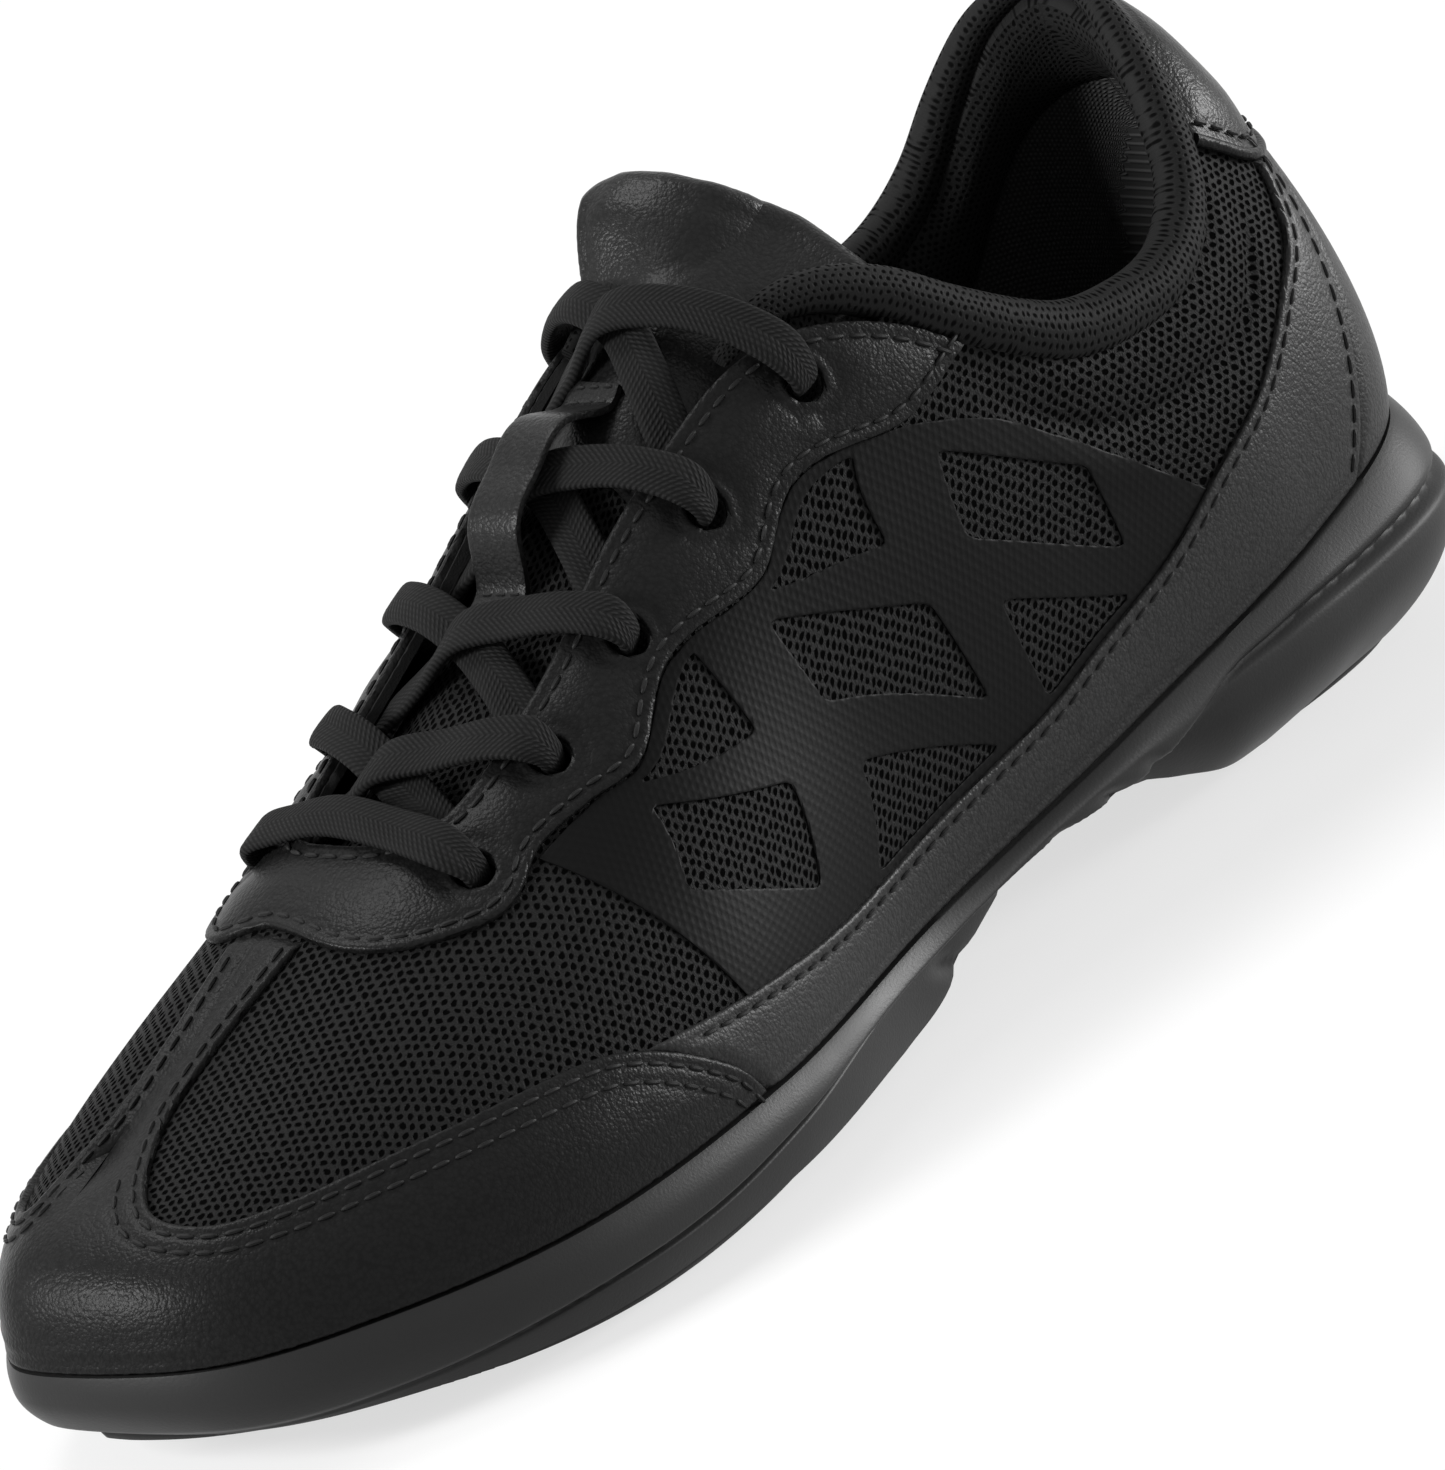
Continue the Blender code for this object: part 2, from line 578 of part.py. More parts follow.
def build_collar(collection):
    angle = np.arange(-66, 66 + 1, 360 / RING_SAMPLES)
    top = smooth(COLLAR_LINE, np.abs(angle)) - 0.040
    shares = np.linspace(0, 1, 4)[:, None]
    low = top - 0.130
    height = low[None] + (top - low)[None] * shares
    places = np.stack([np.broadcast_to(angle, height.shape), height], -1)
    ends = smooth([(0, 1.0), (48, 1.0), (66, 0.35)], np.abs(angle))[None]
    profile = smooth([(0, 0.25), (0.25, 0.7), (0.6, 1.0), (1, 0.45)], shares)
    front = np.full(height.shape, STIFFENER_DEPTH - 0.2)
    fill = 0.8 + (COLLAR_FOAM_THICKNESS - 0.8) * profile * ends
    add_filled("collar_foam", places, front, front + fill, "foam", collection)
    lining_front = front + fill + LEATHER_TO_MESH_GAP
    add_filled("collar_lining", places, lining_front, lining_front + MESH_THICKNESS, "fabric", collection)
    build_binding(collection)


def build_binding(collection):
    angles = np.concatenate([np.linspace(-81.5, -60, 9), np.linspace(-55, 55, 23), np.linspace(60, 81.5, 9)])
    height = smooth(COLLAR_LINE, np.abs(angles))
    places = np.stack([angles, height], -1)
    path = skin(places, np.full(len(angles), BINDING_RADIUS + 0.2))
    curve = bpy.data.curves.new("collar_binding", "CURVE")
    curve.dimensions = "3D"
    curve.bevel_depth = BINDING_RADIUS * MM
    curve.bevel_resolution = 1
    curve.use_fill_caps = True
    line = curve.splines.new("POLY")
    line.points.add(len(path) - 1)
    for point, place in zip(line.points, path):
        point.co = (*((place - ORIGIN) * MM), 1.0)
    item = bpy.data.objects.new("collar_binding", curve)
    collection.objects.link(item)
    curve.materials.append(make_material("collar_binding", "fabric"))


def build_toe_cap(collection):
    lateral = ribbon(CAP_EDGE, CAP_RIM, 23, 6, straight)
    add_shell("toe_cap", [lateral, on_side(lateral, -1)], 0.0, LEATHER_THICKNESS, "leather", collection)


def build_rands(collection):
    for name, side in (("lateral_rand", 1), ("medial_rand", -1)):
        bottom = [(106.6, 0.004), (95, 0.004), (80, 0.004), (65, 0.004), (50, 0.004), (37.4, 0.004)]
        places = ribbon(on_side(RAND_TOP, side), on_side(bottom, side), 25, 4)
        add_shell(name, places, 0.0, LEATHER_THICKNESS, "leather", collection)


def build_heel(collection):
    low = np.linspace(-36.2, 36.2, 15)
    high = np.linspace(-23.6, 23.6, 15)
    shares = np.linspace(0, 1, 6)[:, None]
    angle = low[None] * (1 - shares) + high[None] * shares
    height = 0.004 + (STAY_TOP - 0.004) * np.broadcast_to(shares, angle.shape)
    places = np.stack([angle, height], -1)
    add_shell("heel_stay", places, 0.0, LEATHER_THICKNESS, "leather", collection)
    angle = np.linspace(-33, 33, 13)
    low = smooth(TAB_BOTTOM, np.abs(angle))
    high = smooth(COLLAR_LINE, np.abs(angle)) - 0.034
    height = low[None] * (1 - shares) + high[None] * shares
    places = np.stack([np.broadcast_to(angle, height.shape), height], -1)
    add_shell("heel_tab", places, 0.0, LEATHER_THICKNESS, "leather", collection)


def eyelet_cutter(collection):
    """Punches for every eyelet, joined in one cutter."""
    bm = bmesh.new()
    for side in (1, -1):
        for place in on_side(EYELETS, side):
            along, upward, outward = skin_frame(place[0], place[1])
            centre = skin(place, np.array(MESH_DEPTH))
            made = bmesh.ops.create_cone(bm, cap_ends=True, segments=8, radius1=EYELET_RADIUS * MM,
                                         radius2=EYELET_RADIUS * MM, depth=14 * MM)
            for vertex in made["verts"]:
                x, y, z = vertex.co
                vertex.co = along * x + upward * y + outward * z + (centre - ORIGIN) * MM
    bmesh.ops.recalc_face_normals(bm, faces=bm.faces)
    cutter = bpy.data.objects.new("eyelet_punches", finish_mesh("eyelet_punches", bm))
    collection.objects.link(cutter)
    cutter.hide_render = True
    cutter.display_type = "WIRE"
    return cutter


def build_eyestay(collection):
    cutters = bpy.data.collections.new("cutters")
    bpy.context.scene.collection.children.link(cutters)
    punches = eyelet_cutter(cutters)
    inner = resample(EYESTAY_INNER, 25)
    outer = resample(EYESTAY_OUTER, 25)
    places = u_places(inner, outer, 4)
    eyestay = add_shell("eyestay", places, 0.0, LEATHER_THICKNESS, "leather", collection)
    limit = [(a, h + 0.012) for a, h in throat_limit(0.022)]
    outer = [(119.8, 1.0), (118.9, 0.90), (117.9, 0.78), (116.6, 0.690)]
    outer += limit[::-1][1:4]
    outer += [(84, 0.590), (79.4, 0.572), (76, 0.566)]
    inner = resample(EYESTAY_INNER[:9] + [(76.5, 0.632)], 21)
    backer = add_shell("eyestay_backer", u_places(inner, resample(outer, 21), 3), MESH_DEPTH,
                       MESH_THICKNESS, "board", collection)
    for item in (eyestay, backer):
        cut = item.modifiers.new("eyelets", "BOOLEAN")
        cut.operation = "DIFFERENCE"
        cut.solver = "EXACT"
        cut.object = punches


def u_places(inner, outer, rows):
    """A U-shaped patch: down the medial side, round the throat's front, up the lateral side."""
    shares = np.linspace(0, 1, rows)[:, None, None]
    lateral = inner[None] * (1 - shares) + outer[None] * shares
    medial = lateral.copy()
    medial[..., 0] = 360.0 - medial[..., 0]
    return np.concatenate([medial[:, :0:-1], lateral], 1)


FILM_COLUMNS = 19
FILM_ROWS = 6
FILM_CELL = 3


def build_film(collection):
    """A trellis of crossing bars with diamond windows, between the eyestay and the rand."""
    for name, side in (("film_lateral", 1), ("film_medial", -1)):
        top = [(112.2, 0.600), (103, 0.532), (97.4, 0.560), (89.4, 0.492), (83.6, 0.515), (75, 0.447), (68, 0.385)]
        bottom = [(105.5, 0.190), (94.6, 0.136), (83, 0.128), (74.6, 0.128), (68.6, 0.144), (60.5, 0.168), (55.5, 0.200)]
        places = ribbon(on_side(top, side), on_side(bottom, side), FILM_COLUMNS + 1, FILM_ROWS + 1)
        item = add_shell(name, places, LEATHER_THICKNESS - FILM_THICKNESS, FILM_THICKNESS, "film", collection)
        bm = bmesh.new()
        bm.from_mesh(item.data)
        bm.faces.ensure_lookup_table()
        windows = [face for index, face in enumerate(bm.faces) if is_window(index)]
        bmesh.ops.delete(bm, geom=windows, context="FACES")
        bm.to_mesh(item.data)
        bm.free()


def is_window(index):
    row, column = divmod(index, FILM_COLUMNS)
    if row in (0, FILM_ROWS - 1) or column in (0, FILM_COLUMNS - 1):
        return False
    across = (column % (2 * FILM_CELL)) - FILM_CELL + 0.5
    down = row - FILM_ROWS / 2 + 0.5
    return abs(across) / (FILM_CELL - 0.4) + abs(down) / (FILM_ROWS / 2 - 0.4) < 1.0


# ---------------------------------------------------------------- the tongue
TONGUE_LOW = 119.0
TONGUE_FOLD = 80.5
TONGUE_TIP = 72.5
TONGUE_SHARE = [(72.5, 0.44), (76, 0.43), (79.5, 0.37), (82, 0.355), (90, 0.335), (105, 0.32), (119, 0.30)]
PANEL_START = 92.0


def tongue_places(first, last, columns, rows, trim=0.0):
    angle = np.linspace(first, last, columns)
    reach = smooth(TONGUE_SHARE, angle) - trim
    share = np.linspace(-1, 1, rows)[:, None] * reach[None]
    return across_foot(np.broadcast_to(angle, share.shape), share)


def build_tongue(collection):
    panel_gap = SEAM_GAP / 2.0
    add_shell("tongue_mesh", tongue_places(TONGUE_LOW, PANEL_START + panel_gap, 8, 9),
              TONGUE_DEPTH, MESH_THICKNESS, "fabric", collection)
    add_shell("tongue_panel", tongue_places(PANEL_START, TONGUE_FOLD, 4, 9),
              TONGUE_DEPTH, MESH_THICKNESS, "leather", collection)
    places = tongue_places(TONGUE_LOW, TONGUE_FOLD, 10, 9, 0.015)
    add_filling("tongue_foam", places, TONGUE_FOAM_DEPTH, TONGUE_FOAM_THICKNESS, "foam", collection)
    add_shell("tongue_lining", tongue_places(TONGUE_LOW, TONGUE_FOLD, 10, 9),
              TONGUE_LINING_DEPTH, MESH_THICKNESS, "fabric", collection)
    start = TONGUE_FOLD - FLAP_GAP / 2.0
    pieces = (
        ("flap_cover", 0.0, TONGUE_DEPTH, MESH_THICKNESS, "leather"),
        ("flap_foam", 0.015, TONGUE_FOAM_DEPTH, TONGUE_FOAM_THICKNESS, "foam"),
        ("flap_lining", 0.0, TONGUE_LINING_DEPTH, MESH_THICKNESS, "fabric"),
    )
    hinge = bpy.data.objects.new("tongue_fold", None)
    hinge.location = (fold_axis() - ORIGIN) * MM
    collection.objects.link(hinge)
    for name, trim, depth, thickness, kind in pieces:
        places = tongue_places(start, TONGUE_TIP, 4, 9, trim)
        item = add_filling(name, places, depth, thickness, kind, collection)
        item.parent = hinge
        item.matrix_parent_inverse.translation = -hinge.location
    build_keeper(collection)


def fold_axis():
    """The fold's line crosses the tongue at the level of its lining's two side edges."""
    reach = float(smooth(TONGUE_SHARE, TONGUE_FOLD))
    edges = skin(across_foot(TONGUE_FOLD, np.array([-reach, reach])), np.full(2, TONGUE_LINING_DEPTH + MESH_THICKNESS))
    middle = edges.mean(0)
    return np.array([middle[0], 0.0, middle[2]])


KEEPER_SPAN = (100.5, 87.5)
KEEPER_HALF_SHARE = 0.042
KEEPER_RISE = 8.4


def build_keeper(collection):
    """A strap on the tongue's middle that arches over one crossing of the lace."""
    angle = np.linspace(*KEEPER_SPAN, 15)
    travel = (angle - KEEPER_SPAN[0]) / (KEEPER_SPAN[1] - KEEPER_SPAN[0])
    arch = smooth([(0, 0.0), (0.10, 0.0), (0.27, 0.85), (0.5, 1.0), (0.73, 0.85), (0.90, 0.0), (1, 0.0)], travel)
    depth = TONGUE_DEPTH - SEAT_GAP - MESH_THICKNESS - KEEPER_RISE * arch
    share = np.linspace(-1, 1, 4)[:, None] * KEEPER_HALF_SHARE + 0.012
    share = np.broadcast_to(share, (4, len(angle)))
    places = across_foot(np.broadcast_to(angle, share.shape), share)
    add_shell("lace_keeper", places, depth[None], MESH_THICKNESS, "leather", collection)


# ---------------------------------------------------------------- the lace
# One lace: both ends lie inside the shoe, it drops in at the top eyelets, crosses the throat
# four times on each side and closes with the bar over the front pair of eyelets.  A stop is
# (angle, signed share across the foot, depth below the skin, width, how far it lies along
# the foot: 0 crosses it, 1 runs along it).
def lace_crossing(pair, start_side):
    """From under an eyelet of one pair, over the throat, into the next pair's other eyelet."""
    low_angle, low_height = EYELETS[pair]
    high_angle, high_height = EYELETS[pair + 1]
    low_share = (1 - low_height) * start_side
    high_share = -(1 - high_height) * start_side
    reach = high_angle - low_angle
    cross_depth = 2.9 if start_side > 0 else 0.6
    under = MESH_DEPTH + MESH_THICKNESS + LACE_THICKNESS / 2 + 0.45
    over = -LACE_THICKNESS / 2 - 0.75
    return [
        (low_angle, low_share, under, LACE_WIDTH_IN_EYELET, 0.0),
        (low_angle + 0.14 * reach, low_share * 0.74, under, LACE_WIDTH, 0.0),
        (low_angle + 0.33 * reach, low_share * 0.36, under - 0.4, LACE_WIDTH, 0.0),
        (low_angle + 0.50 * reach, 0.0, cross_depth, LACE_WIDTH, 0.0),
        (low_angle + 0.67 * reach, high_share * 0.34, 0.2, LACE_WIDTH, 0.0),
        (low_angle + 0.84 * reach, high_share * 0.66, over, LACE_WIDTH, 0.0),
        (low_angle + 0.96 * reach, high_share * 0.88, over - 0.4, LACE_WIDTH, 0.0),
        (high_angle, high_share, 0.0, LACE_WIDTH_IN_EYELET, 0.0),
    ]


def lace_side(side):
    """The stops from the front bar's eyelet on one side to this strand's free end."""
    stops = []
    for pair in range(len(EYELETS) - 1):
        stops += lace_crossing(pair, side)
        side = -side
    return stops + lace_end(side)


def lace_end(side):
    """Down through the top eyelet, inside the quarter, then along the insole's edge."""
    inside = LINING_BACK + LACE_THICKNESS / 2 + 1.1
    angle, height = EYELETS[-1]
    under = MESH_DEPTH + MESH_THICKNESS + LACE_THICKNESS / 2 + 0.45
    stops = [(angle, 1 - height, under, LACE_WIDTH_IN_EYELET, 0.0)]
    stops += [(angle + 1.5, 0.415, inside, LACE_WIDTH, 0.0)]
    stops += [(angle + 4.5, 0.50, inside + 0.3, LACE_WIDTH, 0.0)]
    stops += [(angle + 8.0, 0.62, inside + 0.3, LACE_WIDTH, 0.15)]
    stops += [(angle + 12.0, 0.73, inside + 0.3, LACE_WIDTH, 0.6)]
    stops += [(angle + 18.0, 0.780, inside + 0.8, LACE_WIDTH, 1.0)]
    stops += [(angle + 26.0, 0.780, inside + 1.0, LACE_WIDTH, 1.0)]
    stops += [(angle + 34.0, 0.755, inside + 1.8, LACE_WIDTH, 1.0)]
    stops += [(angle + 41.0, 0.730, inside + 3.0, LACE_WIDTH, 1.0)]
    return [(a, s * side, d, w, l) for a, s, d, w, l in stops]


def lace_stops():
    front_angle, front_height = EYELETS[0]
    over = -LACE_THICKNESS / 2 - 0.75
    share = 1 - front_height
    bar = [(front_angle, -share, 0.0, LACE_WIDTH_IN_EYELET, 0.0)]
    bar += [(front_angle + 0.2, -share * 0.85, over - 0.4, LACE_WIDTH, 0.0)]
    bar += [(front_angle + 0.3, place * share, over, LACE_WIDTH, 0.0) for place in (-0.45, 0.0, 0.45)]
    bar += [(front_angle + 0.2, share * 0.85, over - 0.4, LACE_WIDTH, 0.0)]
    bar += [(front_angle, share, 0.0, LACE_WIDTH_IN_EYELET, 0.0)]
    lateral = lace_side(-1)
    medial = lace_side(1)
    return lateral[::-1] + bar + medial


def lace_frame(stops):
    """The lace's centre line and its sideways direction, both as smooth curves."""
    stops = np.array(stops)
    places = across_foot(stops[:, 0], stops[:, 1])
    centres = skin(places, stops[:, 2])
    along, upward, outward = skin_frame(places[:, 0], places[:, 1])
    along = along * np.where(stops[:, 1] > 0, -1.0, 1.0)[:, None]
    lies = stops[:, 4][:, None]
    sideways = along * (1 - lies) + upward * lies * np.where(stops[:, 1] > 0, -1.0, 1.0)[:, None]
    return centres, sideways


def smooth_route(points, columns, count):
    """A centripetal-like curve through the points, spaced by their distance."""
    gaps = np.linalg.norm(np.diff(points, axis=0), axis=1)
    knots = np.concatenate([[0.0], np.cumsum(gaps ** 0.75)])
    places = np.linspace(0, knots[-1], count)
    table = np.concatenate([points, columns], 1)
    made = [smooth(list(zip(knots, table[:, axis])), places) for axis in range(table.shape[1])]
    made = np.stack(made, -1)
    return made[:, :3], made[:, 3:]


def build_lace(collection):
    stops = lace_stops()
    centres, sideways = lace_frame(stops)
    widths = np.array([stop[3] for stop in stops])[:, None]
    path, extras = smooth_route(centres, np.concatenate([sideways, widths], 1), 132)
    thicknesses = np.full(len(path), LACE_THICKNESS)
    add_sweep("lace", path, extras[:, 3], thicknesses, extras[:, :3], "lace", collection)
    for name, end, before in (("aglet_lateral", path[0], path[1]), ("aglet_medial", path[-1], path[-2])):
        add_aglet(name, end, end - before, collection)


def add_aglet(name, end, direction, collection):
    direction = direction / np.linalg.norm(direction)
    bpy.ops.mesh.primitive_cylinder_add(vertices=10, radius=AGLET_RADIUS * MM, depth=AGLET_LENGTH * MM)
    item = bpy.context.object
    item.name = name
    item.data.name = name
    centre = end + direction * (AGLET_LENGTH / 2 + SEAT_GAP) - ORIGIN
    item.location = centre * MM
    tilt = math.acos(max(-1.0, min(1.0, direction[2])))
    turn = math.atan2(direction[1], direction[0])
    item.rotation_euler = (0, tilt, turn)
    for holder in list(item.users_collection):
        holder.objects.unlink(item)
    collection.objects.link(item)
    item.data.materials.append(make_material(name, "plastic"))


ORIGIN = sole_centre()


def main():
    clear_scene()
    collection = bpy.data.collections.new("cheer_shoe")
    bpy.context.scene.collection.children.link(collection)
    build_sole(collection)
    build_insole(collection)
    build_upper(collection)
    build_tongue(collection)
    build_lace(collection)


main()
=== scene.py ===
"""The look of a low-cut cheer shoe (left foot), laid over the CAD frame.

Lengths inside the functions are millimetres on the last's skin; put() turns them into the frame's
metres.  A place on the skin is (angle, height): the angle goes round the foot (0 heel, 90 lateral
waist, 180 toe, 270 medial waist), the height from 0 at the feather line to 1 at the spine.  A chart
is a flat map a panel is cut out on: "around" maps (angle, height), "across" maps (angle, signed
share), where the share runs from -1 at the lateral feather line over the spine to +1 medially.
"""

import math

import bmesh
import bpy
import numpy as np
from mathutils import Matrix, Vector
from mathutils.geometry import delaunay_2d_cdt


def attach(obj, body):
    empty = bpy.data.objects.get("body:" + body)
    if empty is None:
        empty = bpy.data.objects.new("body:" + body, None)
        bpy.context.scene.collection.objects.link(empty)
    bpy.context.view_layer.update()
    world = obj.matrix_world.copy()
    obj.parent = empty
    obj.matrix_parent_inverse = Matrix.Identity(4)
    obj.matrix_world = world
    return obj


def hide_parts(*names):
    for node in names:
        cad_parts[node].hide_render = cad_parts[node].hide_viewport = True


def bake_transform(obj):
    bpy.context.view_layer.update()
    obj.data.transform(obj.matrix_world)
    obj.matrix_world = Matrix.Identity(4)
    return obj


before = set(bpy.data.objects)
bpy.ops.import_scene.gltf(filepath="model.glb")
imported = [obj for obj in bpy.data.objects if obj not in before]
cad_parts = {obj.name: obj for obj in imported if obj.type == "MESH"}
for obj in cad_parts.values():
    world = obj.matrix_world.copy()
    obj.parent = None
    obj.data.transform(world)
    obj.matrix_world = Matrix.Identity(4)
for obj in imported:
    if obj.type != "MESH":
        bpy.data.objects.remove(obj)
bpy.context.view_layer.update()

MM = 0.001
# Faces that meet at more than this angle keep a sharp edge; points nearer than this (mm) are joined.
SHARP_ANGLE = math.radians(48)
WELD = 0.01


# ---------------------------------------------------------------- driving sizes (millimetres)
LAST_LENGTH = 244.0
BALL_WIDTH = 78.0
INSTEP_HEIGHT = 84.5
HALF_LENGTH = LAST_LENGTH / 2

LEATHER_THICKNESS = 1.0
FILM_THICKNESS = 0.3
MESH_THICKNESS = 0.7
STIFFENER_THICKNESS = 0.7
LINING_THICKNESS = 0.6
LEATHER_TO_MESH_GAP = 0.65
MESH_TO_STIFFENER_GAP = 0.65
STIFFENER_TO_LINING_GAP = 0.7
SEAT_GAP = 0.3

BINDING_RADIUS = 1.9
TONGUE_FOAM_THICKNESS = 3.2
TONGUE_TO_EYESTAY_GAP = 3.2

LACE_WIDTH = 6.0
LACE_THICKNESS = 1.7
EYELET_RADIUS = 3.0
LACE_WIDTH_IN_EYELET = 4.2

# Depths below the skin, each worked out from the layers above it.
MESH_DEPTH = LEATHER_THICKNESS + LEATHER_TO_MESH_GAP
STIFFENER_DEPTH = MESH_DEPTH + MESH_THICKNESS + MESH_TO_STIFFENER_GAP
LINING_DEPTH = STIFFENER_DEPTH + STIFFENER_THICKNESS + STIFFENER_TO_LINING_GAP
LINING_BACK = LINING_DEPTH + LINING_THICKNESS
TONGUE_DEPTH = MESH_DEPTH + MESH_THICKNESS + TONGUE_TO_EYESTAY_GAP
TONGUE_FOAM_DEPTH = TONGUE_DEPTH + MESH_THICKNESS + LEATHER_TO_MESH_GAP
TONGUE_LINING_DEPTH = TONGUE_FOAM_DEPTH + TONGUE_FOAM_THICKNESS + LEATHER_TO_MESH_GAP


# ---------------------------------------------------------------- the last's shape
# Plan outline of the last's bottom: angle, and y as a share of the ball width.
OUTLINE = [
    (0, 0.0), (23, -0.340), (46, -0.430), (68, -0.410), (88, -0.410), (107, -0.513),
    (125, -0.519), (145, -0.378), (165, -0.180), (180, 0.096), (196, 0.237), (217, 0.385),
    (238, 0.468), (253, 0.487), (270, 0.410), (287, 0.333), (308, 0.346), (332, 0.282), (360, 0.0),
]
# Feather line height by station; a station is x over half the last's length, -1 at the toe.
FEATHER = [(-1, 17.5), (-0.74, 15.0), (-0.37, 13.4), (0, 13.2), (0.33, 16.8), (0.66, 23.0), (1, 30.0)]
# Spine: for the station at the feather line, the spine's own station, and its height share.
SPINE_STATION = [
    (-1, -0.811), (-0.86, -0.732), (-0.66, -0.598), (-0.41, -0.395), (0, 0.019), (0.41, 0.402),
    (0.74, 0.634), (1, 0.762),
]
SPINE_HEIGHT = [
    (-1, 0.407), (-0.86, 0.460), (-0.66, 0.543), (-0.41, 0.665), (-0.2, 0.815), (0, 0.998),
    (0.2, 1.167), (0.41, 1.269), (0.74, 1.254), (1, 1.237),
]
SPINE_SHIFT = [(-1, 10.5), (-0.66, 7.3), (-0.2, 1.5), (0, 0.5), (1, 1.5)]
# Side wall of the last: how high it rises steeply, how far it bulges, how wide it stays on top.
WALL_RISE = [(-1, 0.76), (-0.74, 0.62), (-0.33, 0.48), (0, 0.42), (0.49, 0.34), (1, 0.28)]
WALL_BULGE = [(-1, -0.5), (-0.74, 0.8), (-0.33, 2.6), (0, 4.0), (0.49, 5.3), (1, 6.0)]
TOP_FULLNESS = [(-1, 0.50), (-0.74, 0.52), (-0.33, 0.52), (0, 0.60), (0.49, 0.64), (1, 0.50)]

# Outlines on the skin, all as (angle, height) on one side.
COLLAR_LINE = [
    (0, 0.720), (15, 0.695), (26, 0.637), (34.5, 0.541), (39, 0.475), (45, 0.421), (54, 0.402),
    (60.5, 0.425), (67.5, 0.521), (71, 0.595), (77.8, 0.703), (83.4, 0.735),
]
EYELETS = [(115.5, 0.695), (106.6, 0.695), (98.2, 0.672), (89.4, 0.641), (79.4, 0.606)]
EYESTAY_INNER = [
    (117.5, 1.0), (116.8, 0.90), (114.5, 0.825), (111, 0.79), (103, 0.78), (96, 0.785),
    (90, 0.757), (84, 0.722), (79, 0.670), (75, 0.612), (71.2, 0.548), (68.6, 0.496),
]
EYESTAY_OUTER = [
    (125.5, 1.0), (125.8, 0.83), (123.2, 0.71), (118.2, 0.618), (115.1, 0.602), (111.5, 0.622),
    (107.4, 0.595), (103, 0.556), (97.4, 0.593), (89.4, 0.517), (83.6, 0.544), (75, 0.475),
    (68, 0.482),
]
RAND_TOP = [
    (113.6, 0.213), (106.2, 0.166), (94.6, 0.112), (83, 0.104), (74.6, 0.104), (68.6, 0.120),
    (60.5, 0.143), (53.3, 0.189), (46.1, 0.228), (38.1, 0.290), (32.1, 0.332), (25, 0.360),
]
CAP_EDGE = [
    (108.4, 0.004), (110.8, 0.097), (117.1, 0.243), (123.1, 0.309), (136.3, 0.372),
    (148, 0.408), (157.5, 0.465), (163.5, 0.590), (161.5, 0.760), (153.1, 0.880),
    (140, 0.915), (127.0, 0.907),
]
THROAT_CLOSES = (118.0, 121.0)
TAB_BOTTOM = [(0, 0.405), (15, 0.412), (27.3, 0.432), (35, 0.500)]


# ---------------------------------------------------------------- the CAD midsole's plan
# Only its plan box is needed here, because the frame's origin lies in the middle of it.
SOLE_BULGE = [(0, 8.5), (30, 7.5), (60, 4.0), (90, 2.6), (120, 3.6), (150, 3.2), (180, 3.0)]
SOLE_GROOVE = [(0, 1.6), (45, 1.6), (75, 0.6), (110, 1.2), (160, 0.8), (180, 0.4)]
HEEL_POD = [(0, 1.4), (50, 1.2), (68, -2.0), (90, -3.5), (110, 0.0), (180, 0.0)]
SOLE_LEVELS = (0.0, 0.12, 0.34, 0.48, 0.56, 0.64, 0.78, 0.90, 1.0)
RING_SAMPLES = 60


# ---------------------------------------------------------------- numbers
def smooth(table, x):
    """A smooth curve through the table's points, level outside its ends."""
    xs = np.array([row[0] for row in table], float)
    ys = np.array([row[1] for row in table], float)
    slopes = np.gradient(ys, xs)
    x = np.clip(np.asarray(x, float), xs[0], xs[-1])
    i = np.clip(np.searchsorted(xs, x, side="right") - 1, 0, len(xs) - 2)
    step = xs[i + 1] - xs[i]
    u = (x - xs[i]) / step
    rise = (1 + 2 * u) * (1 - u) ** 2 * ys[i] + u * u * (3 - 2 * u) * ys[i + 1]
    lean = u * (1 - u) ** 2 * slopes[i] - u * u * (1 - u) * slopes[i + 1]
    return rise + lean * step


def smooth_columns(knots, table, places):
    """Each column of a table as its own smooth curve over the knots."""
    table = np.asarray(table, float)
    return np.stack([smooth(list(zip(knots, column)), places) for column in table.T], -1)


def resample(points, count):
    """Evenly numbered places along a smooth line through the given points."""
    return smooth_columns(range(len(points)), points, np.linspace(0, len(points) - 1, count))


def straight(points, count):
    """The same, with straight lines between the points, so that corners stay sharp."""
    points = np.asarray(points, float)
    places = np.linspace(0, len(points) - 1, count)
    knots = range(len(points))
    columns = [np.interp(places, knots, points[:, axis]) for axis in range(points.shape[1])]
    return np.stack(columns, -1)


def folded(angle):
    """The same place's angle counted from the heel on either side, 0 to 180."""
    return 180.0 - np.abs((np.asarray(angle, float) % 360.0) - 180.0)


def unit(vectors):
    return vectors / np.maximum(np.linalg.norm(vectors, axis=-1, keepdims=True), 1e-9)


def distance_along(line):
    """How far each point lies along its line, from 0 at the first."""
    return np.concatenate([[0.0], np.cumsum(np.linalg.norm(np.diff(line, axis=0), axis=1))])


def rise_between(value, low, high):
    """0 below low, 1 above high, smooth between; high may lie below low."""
    t = np.clip((np.asarray(value, float) - low) / (high - low), 0, 1)
    return t * t * (3 - 2 * t)


def ridge(value, middle, width):
    """A bell-shaped rise, 1 in its middle."""
    return np.exp(-((value - middle) / width) ** 2)


def rounded(share):
    """A quarter round: 1 at share 0, falling to 0 at share 1."""
    return 1 - np.sqrt(np.clip(1 - (1 - np.clip(share, 0, 1)) ** 2, 0, 1))


def closed_line(line):
    return np.concatenate([line, line[:1]])


